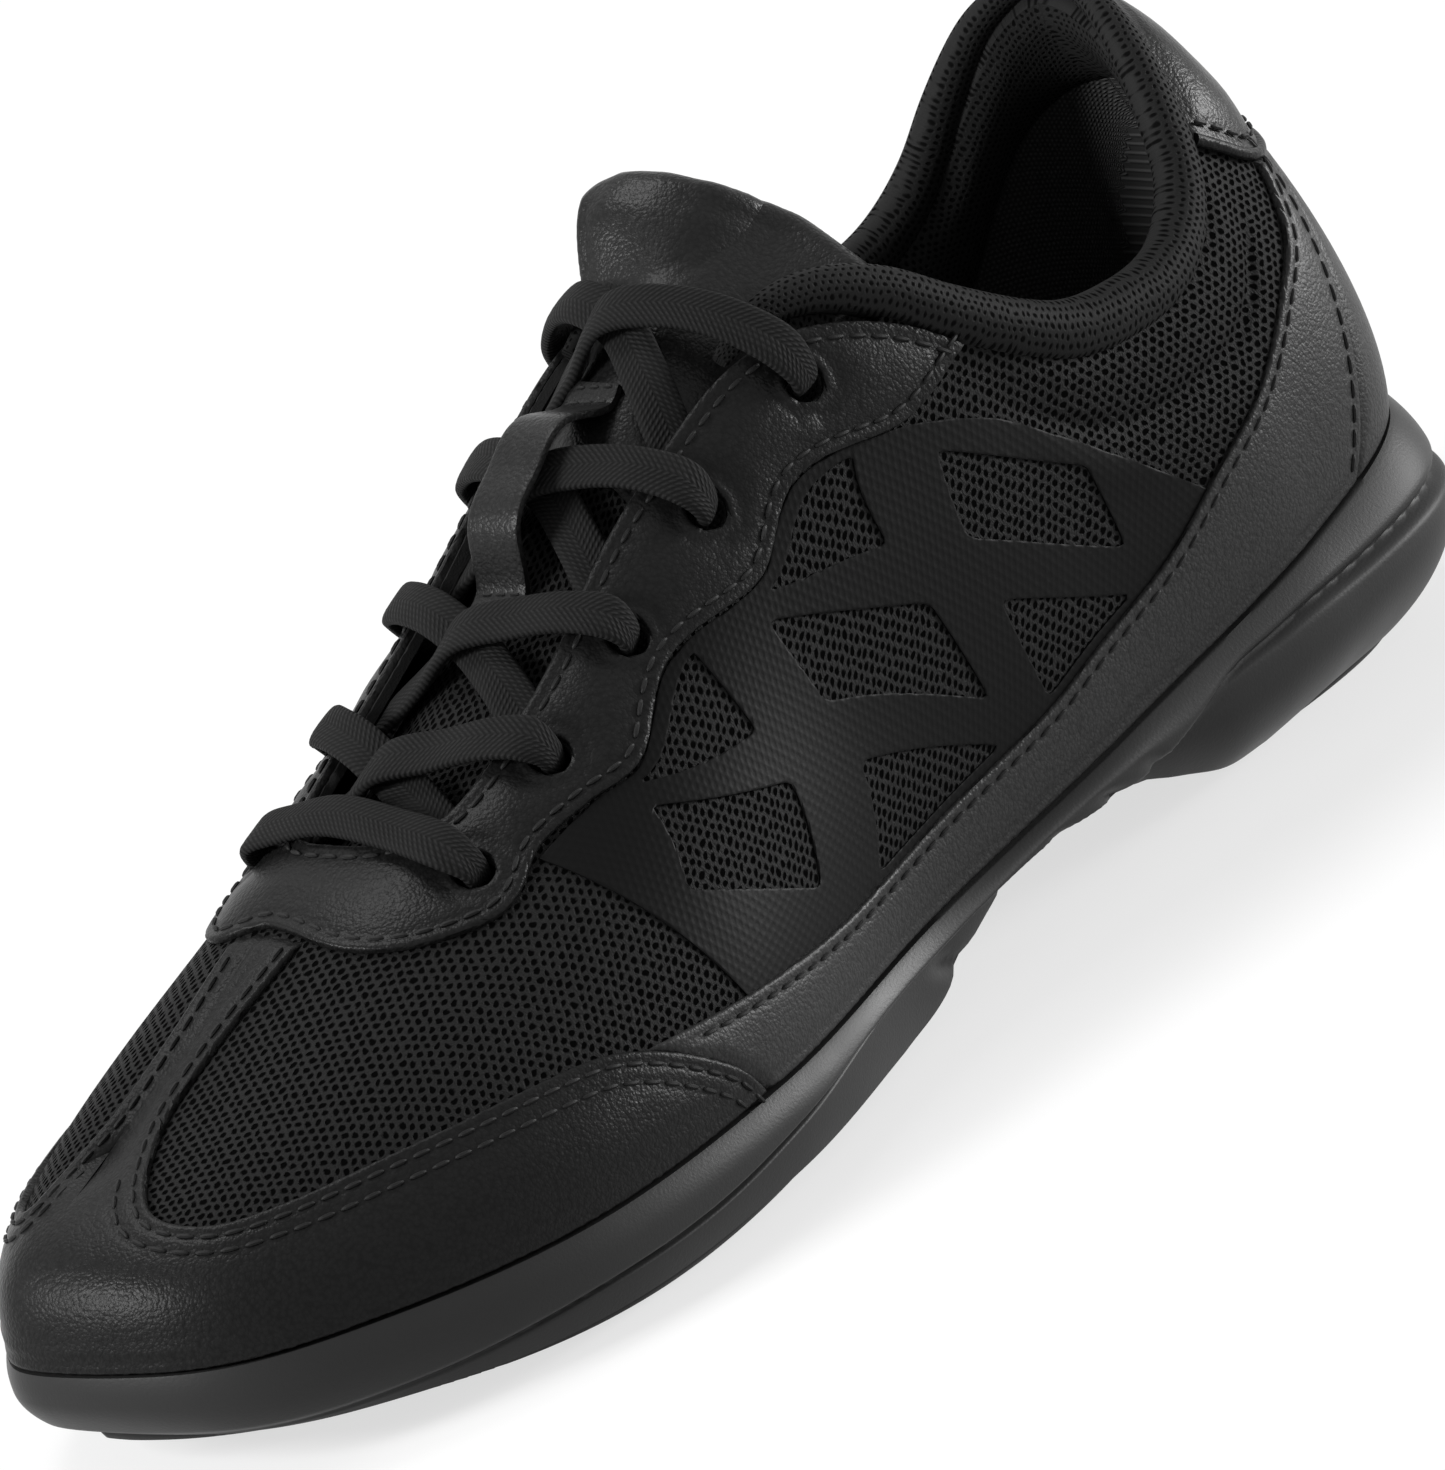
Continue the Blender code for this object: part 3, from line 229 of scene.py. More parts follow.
# ---------------------------------------------------------------- the skin
def skin_point(angle, height):
    """The skin's point: a cubic curve from the feather line over the side wall to the spine."""
    angle, height = np.broadcast_arrays(np.asarray(angle, float), np.asarray(height, float))
    angle = angle % 360.0
    station = np.cos(np.radians(angle))
    side = BALL_WIDTH * smooth(OUTLINE, angle)
    base = np.stack([HALF_LENGTH * station, side, smooth(FEATHER, station)], -1)
    spine = np.stack([
        HALF_LENGTH * smooth(SPINE_STATION, station),
        smooth(SPINE_SHIFT, station),
        INSTEP_HEIGHT * smooth(SPINE_HEIGHT, station),
    ], -1)
    across = base - spine
    across[..., 2] = 0
    width = np.linalg.norm(across, axis=-1, keepdims=True)
    outward = across / np.maximum(width, 1e-9)
    rise = (spine - base)[..., 2:] * smooth(WALL_RISE, station)[..., None]
    wall = base + outward * smooth(WALL_BULGE, station)[..., None]
    wall[..., 2] += rise[..., 0]
    top = spine + outward * width * smooth(TOP_FULLNESS, station)[..., None]
    t = height[..., None]
    return (1 - t) ** 3 * base + 3 * (1 - t) ** 2 * t * wall + 3 * (1 - t) * t * t * top + t ** 3 * spine


ANGLE_STEP = 0.6
HEIGHT_STEP = 0.01


def skin_frame(angle, height):
    """Unit vectors along the foot (towards growing angle), up the skin, and outwards."""
    angle, height = np.broadcast_arrays(np.asarray(angle, float), np.asarray(height, float))
    height = np.clip(height, 0.002, 0.985)
    along = unit(skin_point(angle + ANGLE_STEP, height) - skin_point(angle - ANGLE_STEP, height))
    upward = unit(skin_point(angle, height + HEIGHT_STEP) - skin_point(angle, height - HEIGHT_STEP))
    return along, upward, unit(np.cross(upward, along))


SPINE_ZONE_START = 0.93
SPINE_ZONE = 0.07


def skin(places, depth):
    """Points at a depth below the skin; at the spine both sides share one normal."""
    places = np.asarray(places, float)
    angle, height = places[..., 0], places[..., 1]
    outward = skin_frame(angle, height)[2]
    mirrored = skin_frame(360.0 - angle, height)[2]
    near_spine = np.clip((height - SPINE_ZONE_START) / SPINE_ZONE, 0, 1)[..., None] * 0.5
    outward = unit(outward * (1 - near_spine) + mirrored * near_spine)
    return skin_point(angle, height) - outward * np.asarray(depth, float)[..., None]


def across_foot(angle, share):
    """A place from a signed share: -1 lateral feather, 0 spine, +1 medial feather."""
    angle, share = np.broadcast_arrays(np.asarray(angle, float), np.asarray(share, float))
    return np.stack([np.where(share <= 0, angle, 360.0 - angle), 1 - np.abs(share)], -1)


def on_side(points, side):
    """The same outline on the lateral (+1) or medial (-1) side."""
    points = np.array(points, float)
    if side < 0:
        points[..., 0] = 360.0 - points[..., 0]
    return points


def feather_ring(samples):
    """The feather line's angles and points, with the level direction out from each."""
    angle = np.arange(samples) * 360.0 / samples
    outward = unit(skin_frame(angle, 0.0)[2] * np.array([1, 1, 0]))
    return folded(angle), skin_point(angle, 0.0), outward


def cad_sole_ring(level):
    """One ring of the CAD midsole in plan: level 0 at the feather line, 1 at the bottom edge."""
    side_angle, base, outward = feather_ring(RING_SAMPLES)
    swell = smooth([(0, 0.0), (0.15, 0.75), (0.38, 1.0), (1, 1.0)], level)
    notch = ridge(level, 0.56, 0.09)
    lower = smooth([(0, 0.0), (0.5, 0.0), (0.7, 1.0), (0.88, 0.8), (1, -0.2)], level)
    tuck = smooth([(0, 0.0), (0.8, 0.0), (1, 2.2)], level)
    reach = (smooth(SOLE_BULGE, side_angle) * swell - smooth(SOLE_GROOVE, side_angle) * notch
             + smooth(HEEL_POD, side_angle) * lower - tuck)
    return (base + outward * reach[:, None])[:, :2]


def sole_centre():
    """Middle of the CAD midsole's plan box, which is where the object's origin goes."""
    rings = np.concatenate([cad_sole_ring(level) for level in SOLE_LEVELS])
    return np.array([*(rings.max(0) + rings.min(0)) / 2, 0.0])


ORIGIN = sole_centre()


# ---------------------------------------------------------------- building pieces
def put(points):
    """Skin millimetres to the frame's metres."""
    return (np.asarray(points, float) - ORIGIN) * MM


def on_chart(chart, points):
    """Places on the skin for points of a chart."""
    points = np.asarray(points, float)
    if chart == "across":
        return across_foot(points[..., 0], points[..., 1])
    return points


def chart_point(chart, points):
    places = on_chart(chart, points)
    return skin_point(places[..., 0], places[..., 1])


def chart_slopes(chart, points):
    """How the skin's point moves for one unit along each axis of the chart."""
    steps = np.array([[0.05, 0.0], [0.0, 0.0005]])
    sides = []
    for step in steps:
        ahead = chart_point(chart, points + step)
        behind = chart_point(chart, points - step)
        sides.append((ahead - behind) / (2 * step.sum()))
    return sides


def chart_shift(chart, points, moves):
    """The chart points after a move given in millimetres in space."""
    da, db = chart_slopes(chart, points)
    aa, ab, bb = (da * da).sum(-1), (da * db).sum(-1), (db * db).sum(-1)
    ra, rb = (da * moves).sum(-1), (db * moves).sum(-1)
    det = np.maximum(aa * bb - ab * ab, 1e-6)
    return points + np.stack([(bb * ra - ab * rb) / det, (aa * rb - ab * ra) / det], -1)


def inset(chart, line, distance, closed=True):
    """The line moved to its left by a distance on the skin."""
    here = chart_point(chart, line)
    if closed:
        tangent = np.roll(here, -1, 0) - np.roll(here, 1, 0)
    else:
        tangent = np.gradient(here, axis=0)
    da, db = chart_slopes(chart, line)
    left = unit(np.cross(np.cross(da, db), tangent))
    return chart_shift(chart, line, left * distance)


def even(chart, line, spacing, closed=True):
    """The line with its points evenly spaced along the skin."""
    line = np.asarray(line, float)
    if closed:
        line = closed_line(line)
    run = distance_along(chart_point(chart, line))
    count = max(int(run[-1] / spacing), 4)
    stops = np.linspace(0, run[-1], count + 1)
    made = np.stack([np.interp(stops, run, line[:, axis]) for axis in (0, 1)], -1)
    return made[:-1] if closed else made


def left_about(line):
    """Whether a closed line turns to the left."""
    x, y = line[:, 0], line[:, 1]
    return (x * np.roll(y, -1) - np.roll(x, -1) * y).sum() > 0


def inside(loop, points):
    """Which points lie inside a closed loop."""
    x, y = points[:, 0][:, None], points[:, 1][:, None]
    ax, ay = loop[:, 0][None], loop[:, 1][None]
    bx, by = np.roll(loop[:, 0], -1)[None], np.roll(loop[:, 1], -1)[None]
    spans = (ay > y) != (by > y)
    cross = ax + (y - ay) * (bx - ax) / np.where(by == ay, 1e-12, by - ay)
    return ((spans & (x < cross)).sum(1) % 2).astype(bool)


def gap_to(points, border):
    """Distance from each point to the nearest point of a dense border."""
    found = np.empty(len(points))
    for start in range(0, len(points), 2000):
        part = points[start:start + 2000]
        square = ((part[:, None] - border[None]) ** 2).sum(-1)
        found[start:start + 2000] = np.sqrt(square.min(1))
    return found


def dense(chart, lines, spacing=0.22):
    """Closely spaced points in space along lines of a chart."""
    return np.concatenate([chart_point(chart, even(chart, line, spacing, False)) for line in lines])


def circle_on(chart, centre, radius, count=26):
    """A round hole's outline on the skin."""
    turn = np.arange(count) * 2 * math.pi / count
    centres = np.repeat(np.array([centre], float), count, 0)
    da, db = chart_slopes(chart, centres)
    first = unit(da)
    second = unit(np.cross(np.cross(da, db), first))
    moves = (first * np.cos(turn)[:, None] + second * np.sin(turn)[:, None]) * radius
    return chart_shift(chart, centres, moves)


def cloth_map(places):
    """Millimetres along the foot and down from the spine, for woven patterns."""
    angle = np.linspace(0, 180, 361)
    line = skin_point(angle, np.full(len(angle), 0.45))
    run = distance_along(line)
    points = skin_point(places[..., 0], places[..., 1])
    along = np.interp(-points[..., 0], -line[:, 0], run)
    heights = places[..., 1][..., None] + (1 - places[..., 1][..., None]) * np.linspace(0, 1, 13)
    spread = skin_point(places[..., 0][..., None], heights)
    steps = np.diff(spread, axis=-2)
    down = np.sqrt((steps[..., 1:] ** 2).sum(-1)).sum(-1)
    medial = (places[..., 0] % 360.0) > 180.0
    return np.stack([along, np.where(medial, -down, down)], -1)


def add_object(name, data):
    item = bpy.data.objects.new(name, data)
    bpy.context.scene.collection.objects.link(item)
    return item


def mesh_object(name, points, faces, uv=None):
    """A mesh object from points in metres; uv holds one pair a point, in millimetres."""
    data = bpy.data.meshes.new(name)
    data.from_pydata([tuple(p) for p in points], [], [tuple(int(i) for i in f) for f in faces])
    data.validate()
    if uv is not None:
        layer = data.uv_layers.new(name="cloth")
        corners = np.empty(len(data.loops), np.int32)
        data.loops.foreach_get("vertex_index", corners)
        layer.data.foreach_set("uv", np.asarray(uv, np.float32)[corners].ravel())
    data.shade_smooth()
    data.set_sharp_from_angle(angle=SHARP_ANGLE)
    return add_object(name, data)


def recalculated(item, merge=0.0):
    """Closes duplicate points and turns every face outward."""
    bm = bmesh.new()
    bm.from_mesh(item.data)
    if merge:
        bmesh.ops.remove_doubles(bm, verts=bm.verts, dist=merge * MM)
    bmesh.ops.recalc_face_normals(bm, faces=bm.faces)
    bm.to_mesh(item.data)
    bm.free()
    item.data.set_sharp_from_angle(angle=SHARP_ANGLE)
    return item


EDGE_ROUNDING = 0.45
OUTLINE_SPACING = 1.0


def triangulated(chart, borders, wall, rings, step):
    """Chart points and triangles that fill an outline round its holes, with rows along the rims."""
    def within(points):
        keep = inside(borders[0], points)
        for hole in borders[1:]:
            keep &= ~inside(hole, points)
        return keep

    def clear_of_rims(points, least):
        points = points[within(points)]
        return points[gap_to(chart_point(chart, points), wall) >= least]

    groups = [np.concatenate(borders)]
    for ring in rings:
        groups += [clear_of_rims(inset(chart, border, ring), ring * 0.86) for border in borders]
    low, high = borders[0].min(0), borders[0].max(0)
    slopes = chart_slopes(chart, np.array([(low + high) / 2]))
    size = np.array([step / np.linalg.norm(slope) for slope in slopes])
    grid = np.stack(np.meshgrid(*(np.arange(low[k], high[k], size[k]) for k in (0, 1))), -1)
    grid[1::2, :, 0] += size[0] / 2
    groups.append(clear_of_rims(grid.reshape(-1, 2), rings[-1] + step * 0.5))
    scale = np.array([1.0, size[0] / size[1]])
    edges = []
    start = 0
    for border in borders:
        count = len(border)
        edges += [(start + i, start + (i + 1) % count) for i in range(count)]
        start += count
    made = delaunay_2d_cdt([Vector(p) for p in np.concatenate(groups) * scale], edges, [], 1, 1e-7)
    flat = np.array([tuple(p) for p in made[0]]) / scale
    faces = np.array([tuple(face) for face in made[2] if len(set(face)) == 3])
    return flat, faces[within(flat[faces].mean(1))]


def open_edges(triangles):
    """The edges that only one triangle has, in that triangle's direction."""
    sides = {}
    for face in triangles:
        for i in range(3):
            first, second = int(face[i]), int(face[(i + 1) % 3])
            if (second, first) in sides:
                del sides[(second, first)]
            else:
                sides[(first, second)] = True
    return list(sides)


def panel(name, chart, outline, holes=(), depth=0.0, thickness=1.0, step=1.5,
          rings=(0.2, 0.5, 1.0, 1.7, 2.5), rims=None, edge=EDGE_ROUNDING, shape=None,
          back_shape=None, cloth=False, spacing=OUTLINE_SPACING, surface=skin):
    """A closed panel cut from the skin: rounded rims, its face moved in or out by shape()."""
    outline = even(chart, outline, spacing)
    if not left_about(outline):
        outline = outline[::-1]
    borders = [outline]
    for hole in holes:
        hole = even(chart, hole, min(spacing, 0.8))
        borders.append(hole[::-1] if left_about(hole) else hole)
    wall = dense(chart, [closed_line(line) for line in borders])
    flat, triangles = triangulated(chart, borders, wall, rings, step)
    places = on_chart(chart, flat)
    away = gap_to(chart_point(chart, flat), wall if rims is None else dense(chart, rims))
    front = depth + edge * rounded(away / edge)
    back = np.full(len(flat), depth + thickness)
    if shape is not None:
        front = front + shape(places, away)
        back = back + (back_shape or shape)(places, away)
    back = np.maximum(back, front + 0.05)
    outer, inner = surface(places, front), surface(places, back)
    a, b, c = (outer[triangles[:, k]] for k in range(3))
    middle = places[triangles[:, 0]]
    outward = skin_frame(middle[:, 0], middle[:, 1])[2]
    if (np.cross(b - a, c - a) * outward).sum() < 0:
        triangles = triangles[:, ::-1]
    count = len(flat)
    walls = []
    for first, second in open_edges(triangles):
        if chart == "around" and min(places[first, 1], places[second, 1]) > 0.9999:
            continue
        walls.append((second, first, first + count, second + count))
    faces = list(triangles) + list(triangles[:, ::-1] + count) + walls
    uv = np.concatenate([cloth_map(places)] * 2) if cloth else None
    item = mesh_object(name, put(np.concatenate([outer, inner])), faces, uv)
    if chart == "around" and places[:, 1].max() > 0.9999:
        recalculated(item, WELD)
    return item


def grid_faces(rows, columns, closed_columns=False, offset=0):
    """The quads of a grid of points; closed_columns joins its last column to its first."""
    faces = []
    last = columns if closed_columns else columns - 1
    for r in range(rows - 1):
        for c in range(last):
            d = (c + 1) % columns
            faces.append((offset + r * columns + c, offset + r * columns + d,
                          offset + (r + 1) * columns + d, offset + (r + 1) * columns + c))
    return faces


def paired_faces(rows, columns):
    """The quads of a grid and of a second one behind it, facing the other way."""
    faces = grid_faces(rows, columns)
    return faces + [tuple(i + rows * columns for i in reversed(face)) for face in faces]


def slab(name, outer, inner, uv):
    """A closed solid between two grids of points (millimetres)."""
    rows, columns = outer.shape[:2]
    count = rows * columns
    faces = paired_faces(rows, columns)
    loop = list(range(columns))
    loop += [r * columns + columns - 1 for r in range(1, rows)]
    loop += [(rows - 1) * columns + c for c in range(columns - 2, -1, -1)]
    loop += [r * columns for r in range(rows - 2, 0, -1)]
    faces += [(b, a, a + count, b + count) for a, b in zip(loop, loop[1:] + loop[:1])]
    points = np.concatenate([outer.reshape(-1, 3), inner.reshape(-1, 3)])
    uv = np.concatenate([uv.reshape(-1, 2)] * 2)
    return recalculated(mesh_object(name, put(points), faces, uv), 0.004)


def sweep(name, path, sideways, widths, thicknesses, segments=18, squareness=0.55, wave=None):
    """A cord or strap of rounded flat section along a path, closed at both ends."""
    path = np.asarray(path, float)
    forward = unit(np.gradient(path, axis=0))
    side = unit(sideways - forward * (sideways * forward).sum(-1, keepdims=True))
    normal = np.cross(forward, side)
    turn = np.arange(segments) * 2 * math.pi / segments
    u = np.sign(np.cos(turn)) * np.abs(np.cos(turn)) ** squareness / 2
    v = np.sign(np.sin(turn)) * np.abs(np.sin(turn)) ** squareness / 2
    widths = np.broadcast_to(np.asarray(widths, float), len(path))
    thicknesses = np.broadcast_to(np.asarray(thicknesses, float), len(path))
    rings = (path[:, None] + side[:, None] * (u[None] * widths[:, None])[..., None]
             + normal[:, None] * (v[None] * thicknesses[:, None])[..., None])
    run = distance_along(path)
    if wave is not None:
        rings = rings + normal[:, None] * wave(run[:, None], u[None])[..., None]
    count = len(path) * segments
    faces = grid_faces(len(path), segments, True)
    points = np.concatenate([rings.reshape(-1, 3), path[:1], path[-1:]])
    last = (len(path) - 1) * segments
    for i in range(segments):
        j = (i + 1) % segments
        faces.append((j, i, count))
        faces.append((last + i, last + j, count + 1))
    around = np.broadcast_to(u[None] * 6.0, (len(path), segments))
    uv = np.stack([np.broadcast_to(run[:, None], around.shape), around], -1).reshape(-1, 2)
    uv = np.concatenate([uv, [[0.0, 0.0]], [[run[-1], 0.0]]])
    return recalculated(mesh_object(name, put(points), faces, uv))


STITCH_PITCH = 3.1
STITCH_LENGTH = 2.35
STITCH_RADIUS = 0.30


# One stitch lengthwise: (place along it, share of its full thickness).
STITCH_RINGS = [(-0.5, 0.15), (-0.42, 0.75), (-0.2, 1.0), (0.2, 1.0), (0.42, 0.75), (0.5, 0.15)]
STITCH_SIDES = 6


def stitches(name, lines, pitch=STITCH_PITCH, length=STITCH_LENGTH, radius=STITCH_RADIUS):
    """Thread seen on the face of a panel: one short capsule a stitch along lines of 3-D points."""
    points, faces = [], []
    for line, normals in lines:
        run = distance_along(line)

        def at(stop, table):
            return np.array([np.interp(stop, run, table[:, axis]) for axis in range(3)])

        for k in range(int((run[-1] - length) // pitch) + 1):
            middle = length / 2 + k * pitch
            centre = at(middle, line)
            forward = unit(at(middle + 1, line) - at(middle - 1, line))
            side = unit(np.cross(at(middle, normals), forward))
            up = np.cross(forward, side)
            base = len(points)
            for place, swell in STITCH_RINGS:
                dip = radius * (0.55 - 0.9 * (2 * place) ** 4)
                for turn in np.arange(STITCH_SIDES) * 2 * math.pi / STITCH_SIDES:
                    points.append(centre + forward * place * length + up * dip * 0.5
                                  + side * math.cos(turn) * radius * swell
                                  + up * math.sin(turn) * radius * swell)
            faces += grid_faces(len(STITCH_RINGS), STITCH_SIDES, True, base)
            last = base + (len(STITCH_RINGS) - 1) * STITCH_SIDES
            faces.append(tuple(range(base + STITCH_SIDES - 1, base - 1, -1)))
            faces.append(tuple(range(last, last + STITCH_SIDES)))
    return recalculated(mesh_object(name, put(np.array(points)), faces))


def seam_line(chart, line, distance, depth, flip=1):
    """A stitch line's points and outward directions, at a distance inside a panel's edge."""
    line = even(chart, line, 0.8, False)
    moved = inset(chart, line, distance * flip, False)
    moved = even(chart, moved, 0.8, False)
    places = on_chart(chart, moved)
    outward = skin_frame(places[:, 0], places[:, 1])[2]
    return skin(places, np.full(len(places), float(depth))), outward


def finish_piece(item, material, nodes=(), blend=None):
    """Material, body and the CAD nodes a piece stands for; a piece given blend (a bend's two ends) is baked
    into the frame instead of joining the body.
    """
    item.data.materials.clear()
    item.data.materials.append(material)
    if blend is None:
        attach(item, "shoe")
    if nodes:
        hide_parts(*nodes)
    if blend is not None:
        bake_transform(item)


# ---------------------------------------------------------------- materials
HEX_RISE = 0.8660254


def grey(tone):
    return (tone, tone, tone, 1.0)


class Nodes:
    """Short names for making a material's nodes."""

    def __init__(self, name):
        self.material = bpy.data.materials.new(name)
        self.material.use_nodes = True
        self.tree = self.material.node_tree
        self.shader = self.tree.nodes["Principled BSDF"]

    def add(self, kind, **settings):
        node = self.tree.nodes.new(kind)
        for key, value in settings.items():
            setattr(node, key, value)
        return node

    def link(self, source, target):
        self.tree.links.new(source, target)

    def feed(self, node, values):
        """Sets or links a node's first inputs, one for each value."""
        for socket, value in zip(node.inputs, values):
            if isinstance(value, (int, float, tuple)):
                socket.default_value = value
            else:
                self.link(value, socket)

    def math(self, operation, *values):
        node = self.add("ShaderNodeMath", operation=operation)
        self.feed(node, values)
        return node.outputs[0]

    def vector(self, operation, *values):
        node = self.add("ShaderNodeVectorMath", operation=operation)
        self.feed(node, values)
        return node.outputs["Value"] if operation == "LENGTH" else node.outputs[0]

    def object_mm(self):
        """The frame's own coordinates, in millimetres."""
        place = self.add("ShaderNodeTexCoord").outputs["Object"]
        return self.vector("MULTIPLY", place, (1000.0, 1000.0, 1000.0))

    def cloth(self):
        return self.add("ShaderNodeUVMap", uv_map="cloth").outputs[0]

    def noise(self, vector, scale, detail=2.0, roughness=0.5):
        node = self.add("ShaderNodeTexNoise")
        self.link(vector, node.inputs["Vector"])
        node.inputs["Scale"].default_value = scale
        node.inputs["Detail"].default_value = detail
        node.inputs["Roughness"].default_value = roughness
        return node.outputs[0]

    def cells(self, vector, scale):
        node = self.add("ShaderNodeTexVoronoi", feature="F1")
        self.link(vector, node.inputs["Vector"])
        node.inputs["Scale"].default_value = scale
        return node.outputs["Distance"]

    def span(self, value, low, high, first=0.0, last=1.0):
        """first up to low, last from high on, and smooth between the two."""
        node = self.add("ShaderNodeMapRange", interpolation_type="SMOOTHSTEP")
        self.link(value, node.inputs["Value"])
        node.inputs["From Min"].default_value = low
        node.inputs["From Max"].default_value = high
        node.inputs["To Min"].default_value = first
        node.inputs["To Max"].default_value = last
        return node.outputs[0]

    def greys(self, factor, first, second):
        """From one grey to another."""
        node = self.add("ShaderNodeMix", data_type="RGBA")
        self.link(factor, node.inputs["Factor"])
        node.inputs[6].default_value = grey(first)
        node.inputs[7].default_value = grey(second)
        return node.outputs[2]

    def bump(self, height, depth_mm):
        node = self.add("ShaderNodeBump")
        node.inputs["Distance"].default_value = depth_mm * MM
        node.inputs["Strength"].default_value = 1.0
        self.link(height, node.inputs["Height"])
        self.link(node.outputs[0], self.shader.inputs["Normal"])

    def noise_color(self, vector, scale):
        """Three noises at once, each from -0.5 to 0.5, for bending a pattern."""
        node = self.add("ShaderNodeTexNoise")
        self.link(vector, node.inputs["Vector"])
        node.inputs["Scale"].default_value = scale
        node.inputs["Detail"].default_value = 1.0
        return self.vector("SUBTRACT", node.outputs["Color"], (0.5, 0.5, 0.5))

    def hexes(self, vector, pitch):
        """Distance from the nearest centre of a hexagonal lattice, in pitches."""
        place = self.vector("MULTIPLY", vector, (1.0 / pitch, 1.0 / pitch, 0.0))
        high = (0.5, HEX_RISE, 1.0)
        low = (-0.5, -HEX_RISE, -1.0)
        first = self.vector("WRAP", place, high, low)
        second = self.vector("WRAP", self.vector("ADD", place, (0.5, HEX_RISE, 0.0)), high, low)
        return self.math("MINIMUM", self.vector("LENGTH", first), self.vector("LENGTH", second))

    def set(self, **values):
        for key, value in values.items():
            socket = self.shader.inputs[key.replace("_", " ")]
            if isinstance(value, (int, float, tuple)):
                socket.default_value = value
            else:
                self.link(value, socket)


def leather_material(name="leather", tone=0.0075, roughness=0.36, ior=1.2):
    """Fine-grained coated leather with a satin sheen, its grain painted darker in the hollows as shade."""
    n = Nodes(name)
    place = n.object_mm()
    warped = n.vector("ADD", place, n.vector("MULTIPLY", n.noise_color(place, 0.6), (0.3, 0.3, 0.3)))
    pebbles = n.cells(warped, 1.7)
    fine = n.cells(warped, 3.2)
    broad = n.noise(place, 0.06, 3.0)
    height = n.math("ADD", n.math("MULTIPLY", pebbles, -0.7), n.math("MULTIPLY", fine, -0.35))
    # Painted shade: the grain's low cell edges, where the bump sinks, are coloured darker than its raised
    # middles.
    n.set(
        Base_Color=n.greys(n.span(pebbles, 0.2, 0.9), tone * 1.1, tone * 0.6),
        Roughness=n.span(broad, 0.3, 0.7, roughness - 0.04, roughness + 0.05),
        IOR=ior,
    )
    n.bump(height, 0.09)
    return n.material


def mesh_material(name, pitch, tone=0.0118, hole=(0.21, 0.39), relief=0.30, stretch=(1.0, 1.25),
                  hole_painted_shade=0.0022):
    """Knitted air mesh: rounded yarn between rows of small round holes; the holes' near-black colour and
    missing reflection are painted shade for their depth, partly the dark layers behind them.
    """
    n = Nodes(name)
    cloth = n.vector("MULTIPLY", n.cloth(), (stretch[0], stretch[1], 1.0))
    wobble = n.vector("MULTIPLY", n.noise_color(cloth, 0.5), (0.9, 0.9, 0.0))
    cloth = n.vector("ADD", cloth, wobble)
    uneven = n.math("MULTIPLY", n.math("SUBTRACT", n.noise(cloth, 1.1), 0.5), 0.35)
    away = n.math("ADD", n.hexes(cloth, pitch), uneven)
    yarn = n.span(away, hole[0], hole[1])
    strands = n.noise(n.vector("MULTIPLY", cloth, (3.0, 1.2, 1.0)), 2.2 / pitch, 2.0)
    crown = n.math("MULTIPLY", yarn, n.math("ADD", 0.75, n.math("MULTIPLY", strands, 0.5)))
    # Painted shade: the holes take the dark hole tone and lose their reflection, standing in for their
    # depth; partly it is the dark layers behind them.
    n.set(
        Base_Color=n.greys(crown, hole_painted_shade, tone),
        Roughness=0.6,
        IOR=1.15,
        Specular_IOR_Level=n.math("MULTIPLY", crown, 0.5),
    )
    n.bump(crown, relief)
    return n.material


def weave_material(name, pitch, tone=0.014, relief=0.16):
    """Close woven cloth, coloured darker between its knots as painted shade."""
    n = Nodes(name)
    wobble = n.vector("MULTIPLY", n.noise_color(n.cloth(), 0.8), (0.3, 0.3, 0.0))
    cloth = n.vector("ADD", n.cloth(), wobble)
    away = n.hexes(cloth, pitch)
    knots = n.span(away, 0.05, 0.5, 1.0, 0.0)
    # Painted shade: the gaps between the knots, where the bump sinks, take half the tone.
    n.set(
        Base_Color=n.greys(knots, tone * 0.5, tone * 1.1),
        Roughness=0.85,
        IOR=1.12,
    )
    n.bump(knots, relief)
    return n.material


def lace_material():
    """Flat braid: slanting strands that meet along the middle, coloured darker where the braid sinks:
    painted shade in its grooves, with some random tone from the fuzz.
    """
    n = Nodes("lace_braid")
    split = n.add("ShaderNodeSeparateXYZ")
    n.link(n.cloth(), split.inputs[0])
    along, across = split.outputs[0], split.outputs[1]
    slant = n.math("ADD", along, n.math("MULTIPLY", n.math("ABSOLUTE", across), 0.9))
    ribs = n.math("SINE", n.math("MULTIPLY", slant, 2 * math.pi / 0.8))
    cords = n.math("SINE", n.math("MULTIPLY", across, 2 * math.pi / 0.7))
    height = n.math("MULTIPLY", n.math("ADD", ribs, 1.0), n.math("ADD", n.math("MULTIPLY", cords, 0.3), 0.6))
    fuzz = n.noise(n.object_mm(), 3.0, 3.0)
    height = n.math("ADD", height, n.math("MULTIPLY", fuzz, 0.5))
    # Painted shade: the colour follows the braid's height, darker in the grooves between strands; the fuzz
    # adds random tone.
    n.set(
        Base_Color=n.greys(n.span(height, 0.2, 1.6), 0.008, 0.0175),
        Roughness=0.7,
        IOR=1.15,
    )
    n.bump(height, 0.07)
    return n.material


def rubber_material(name="rubber", tone=0.018, roughness=0.46):
    """Moulded rubber with a fine matt skin."""
    n = Nodes(name)
    place = n.object_mm()
    speck = n.noise(place, 2.4, 3.0, 0.6)
    broad = n.noise(place, 0.05, 2.0)
    n.set(
        Base_Color=grey(tone),
        Roughness=n.span(broad, 0.3, 0.7, roughness - 0.04, roughness + 0.05),
        IOR=1.28,
    )
    n.bump(speck, 0.035)
    return n.material


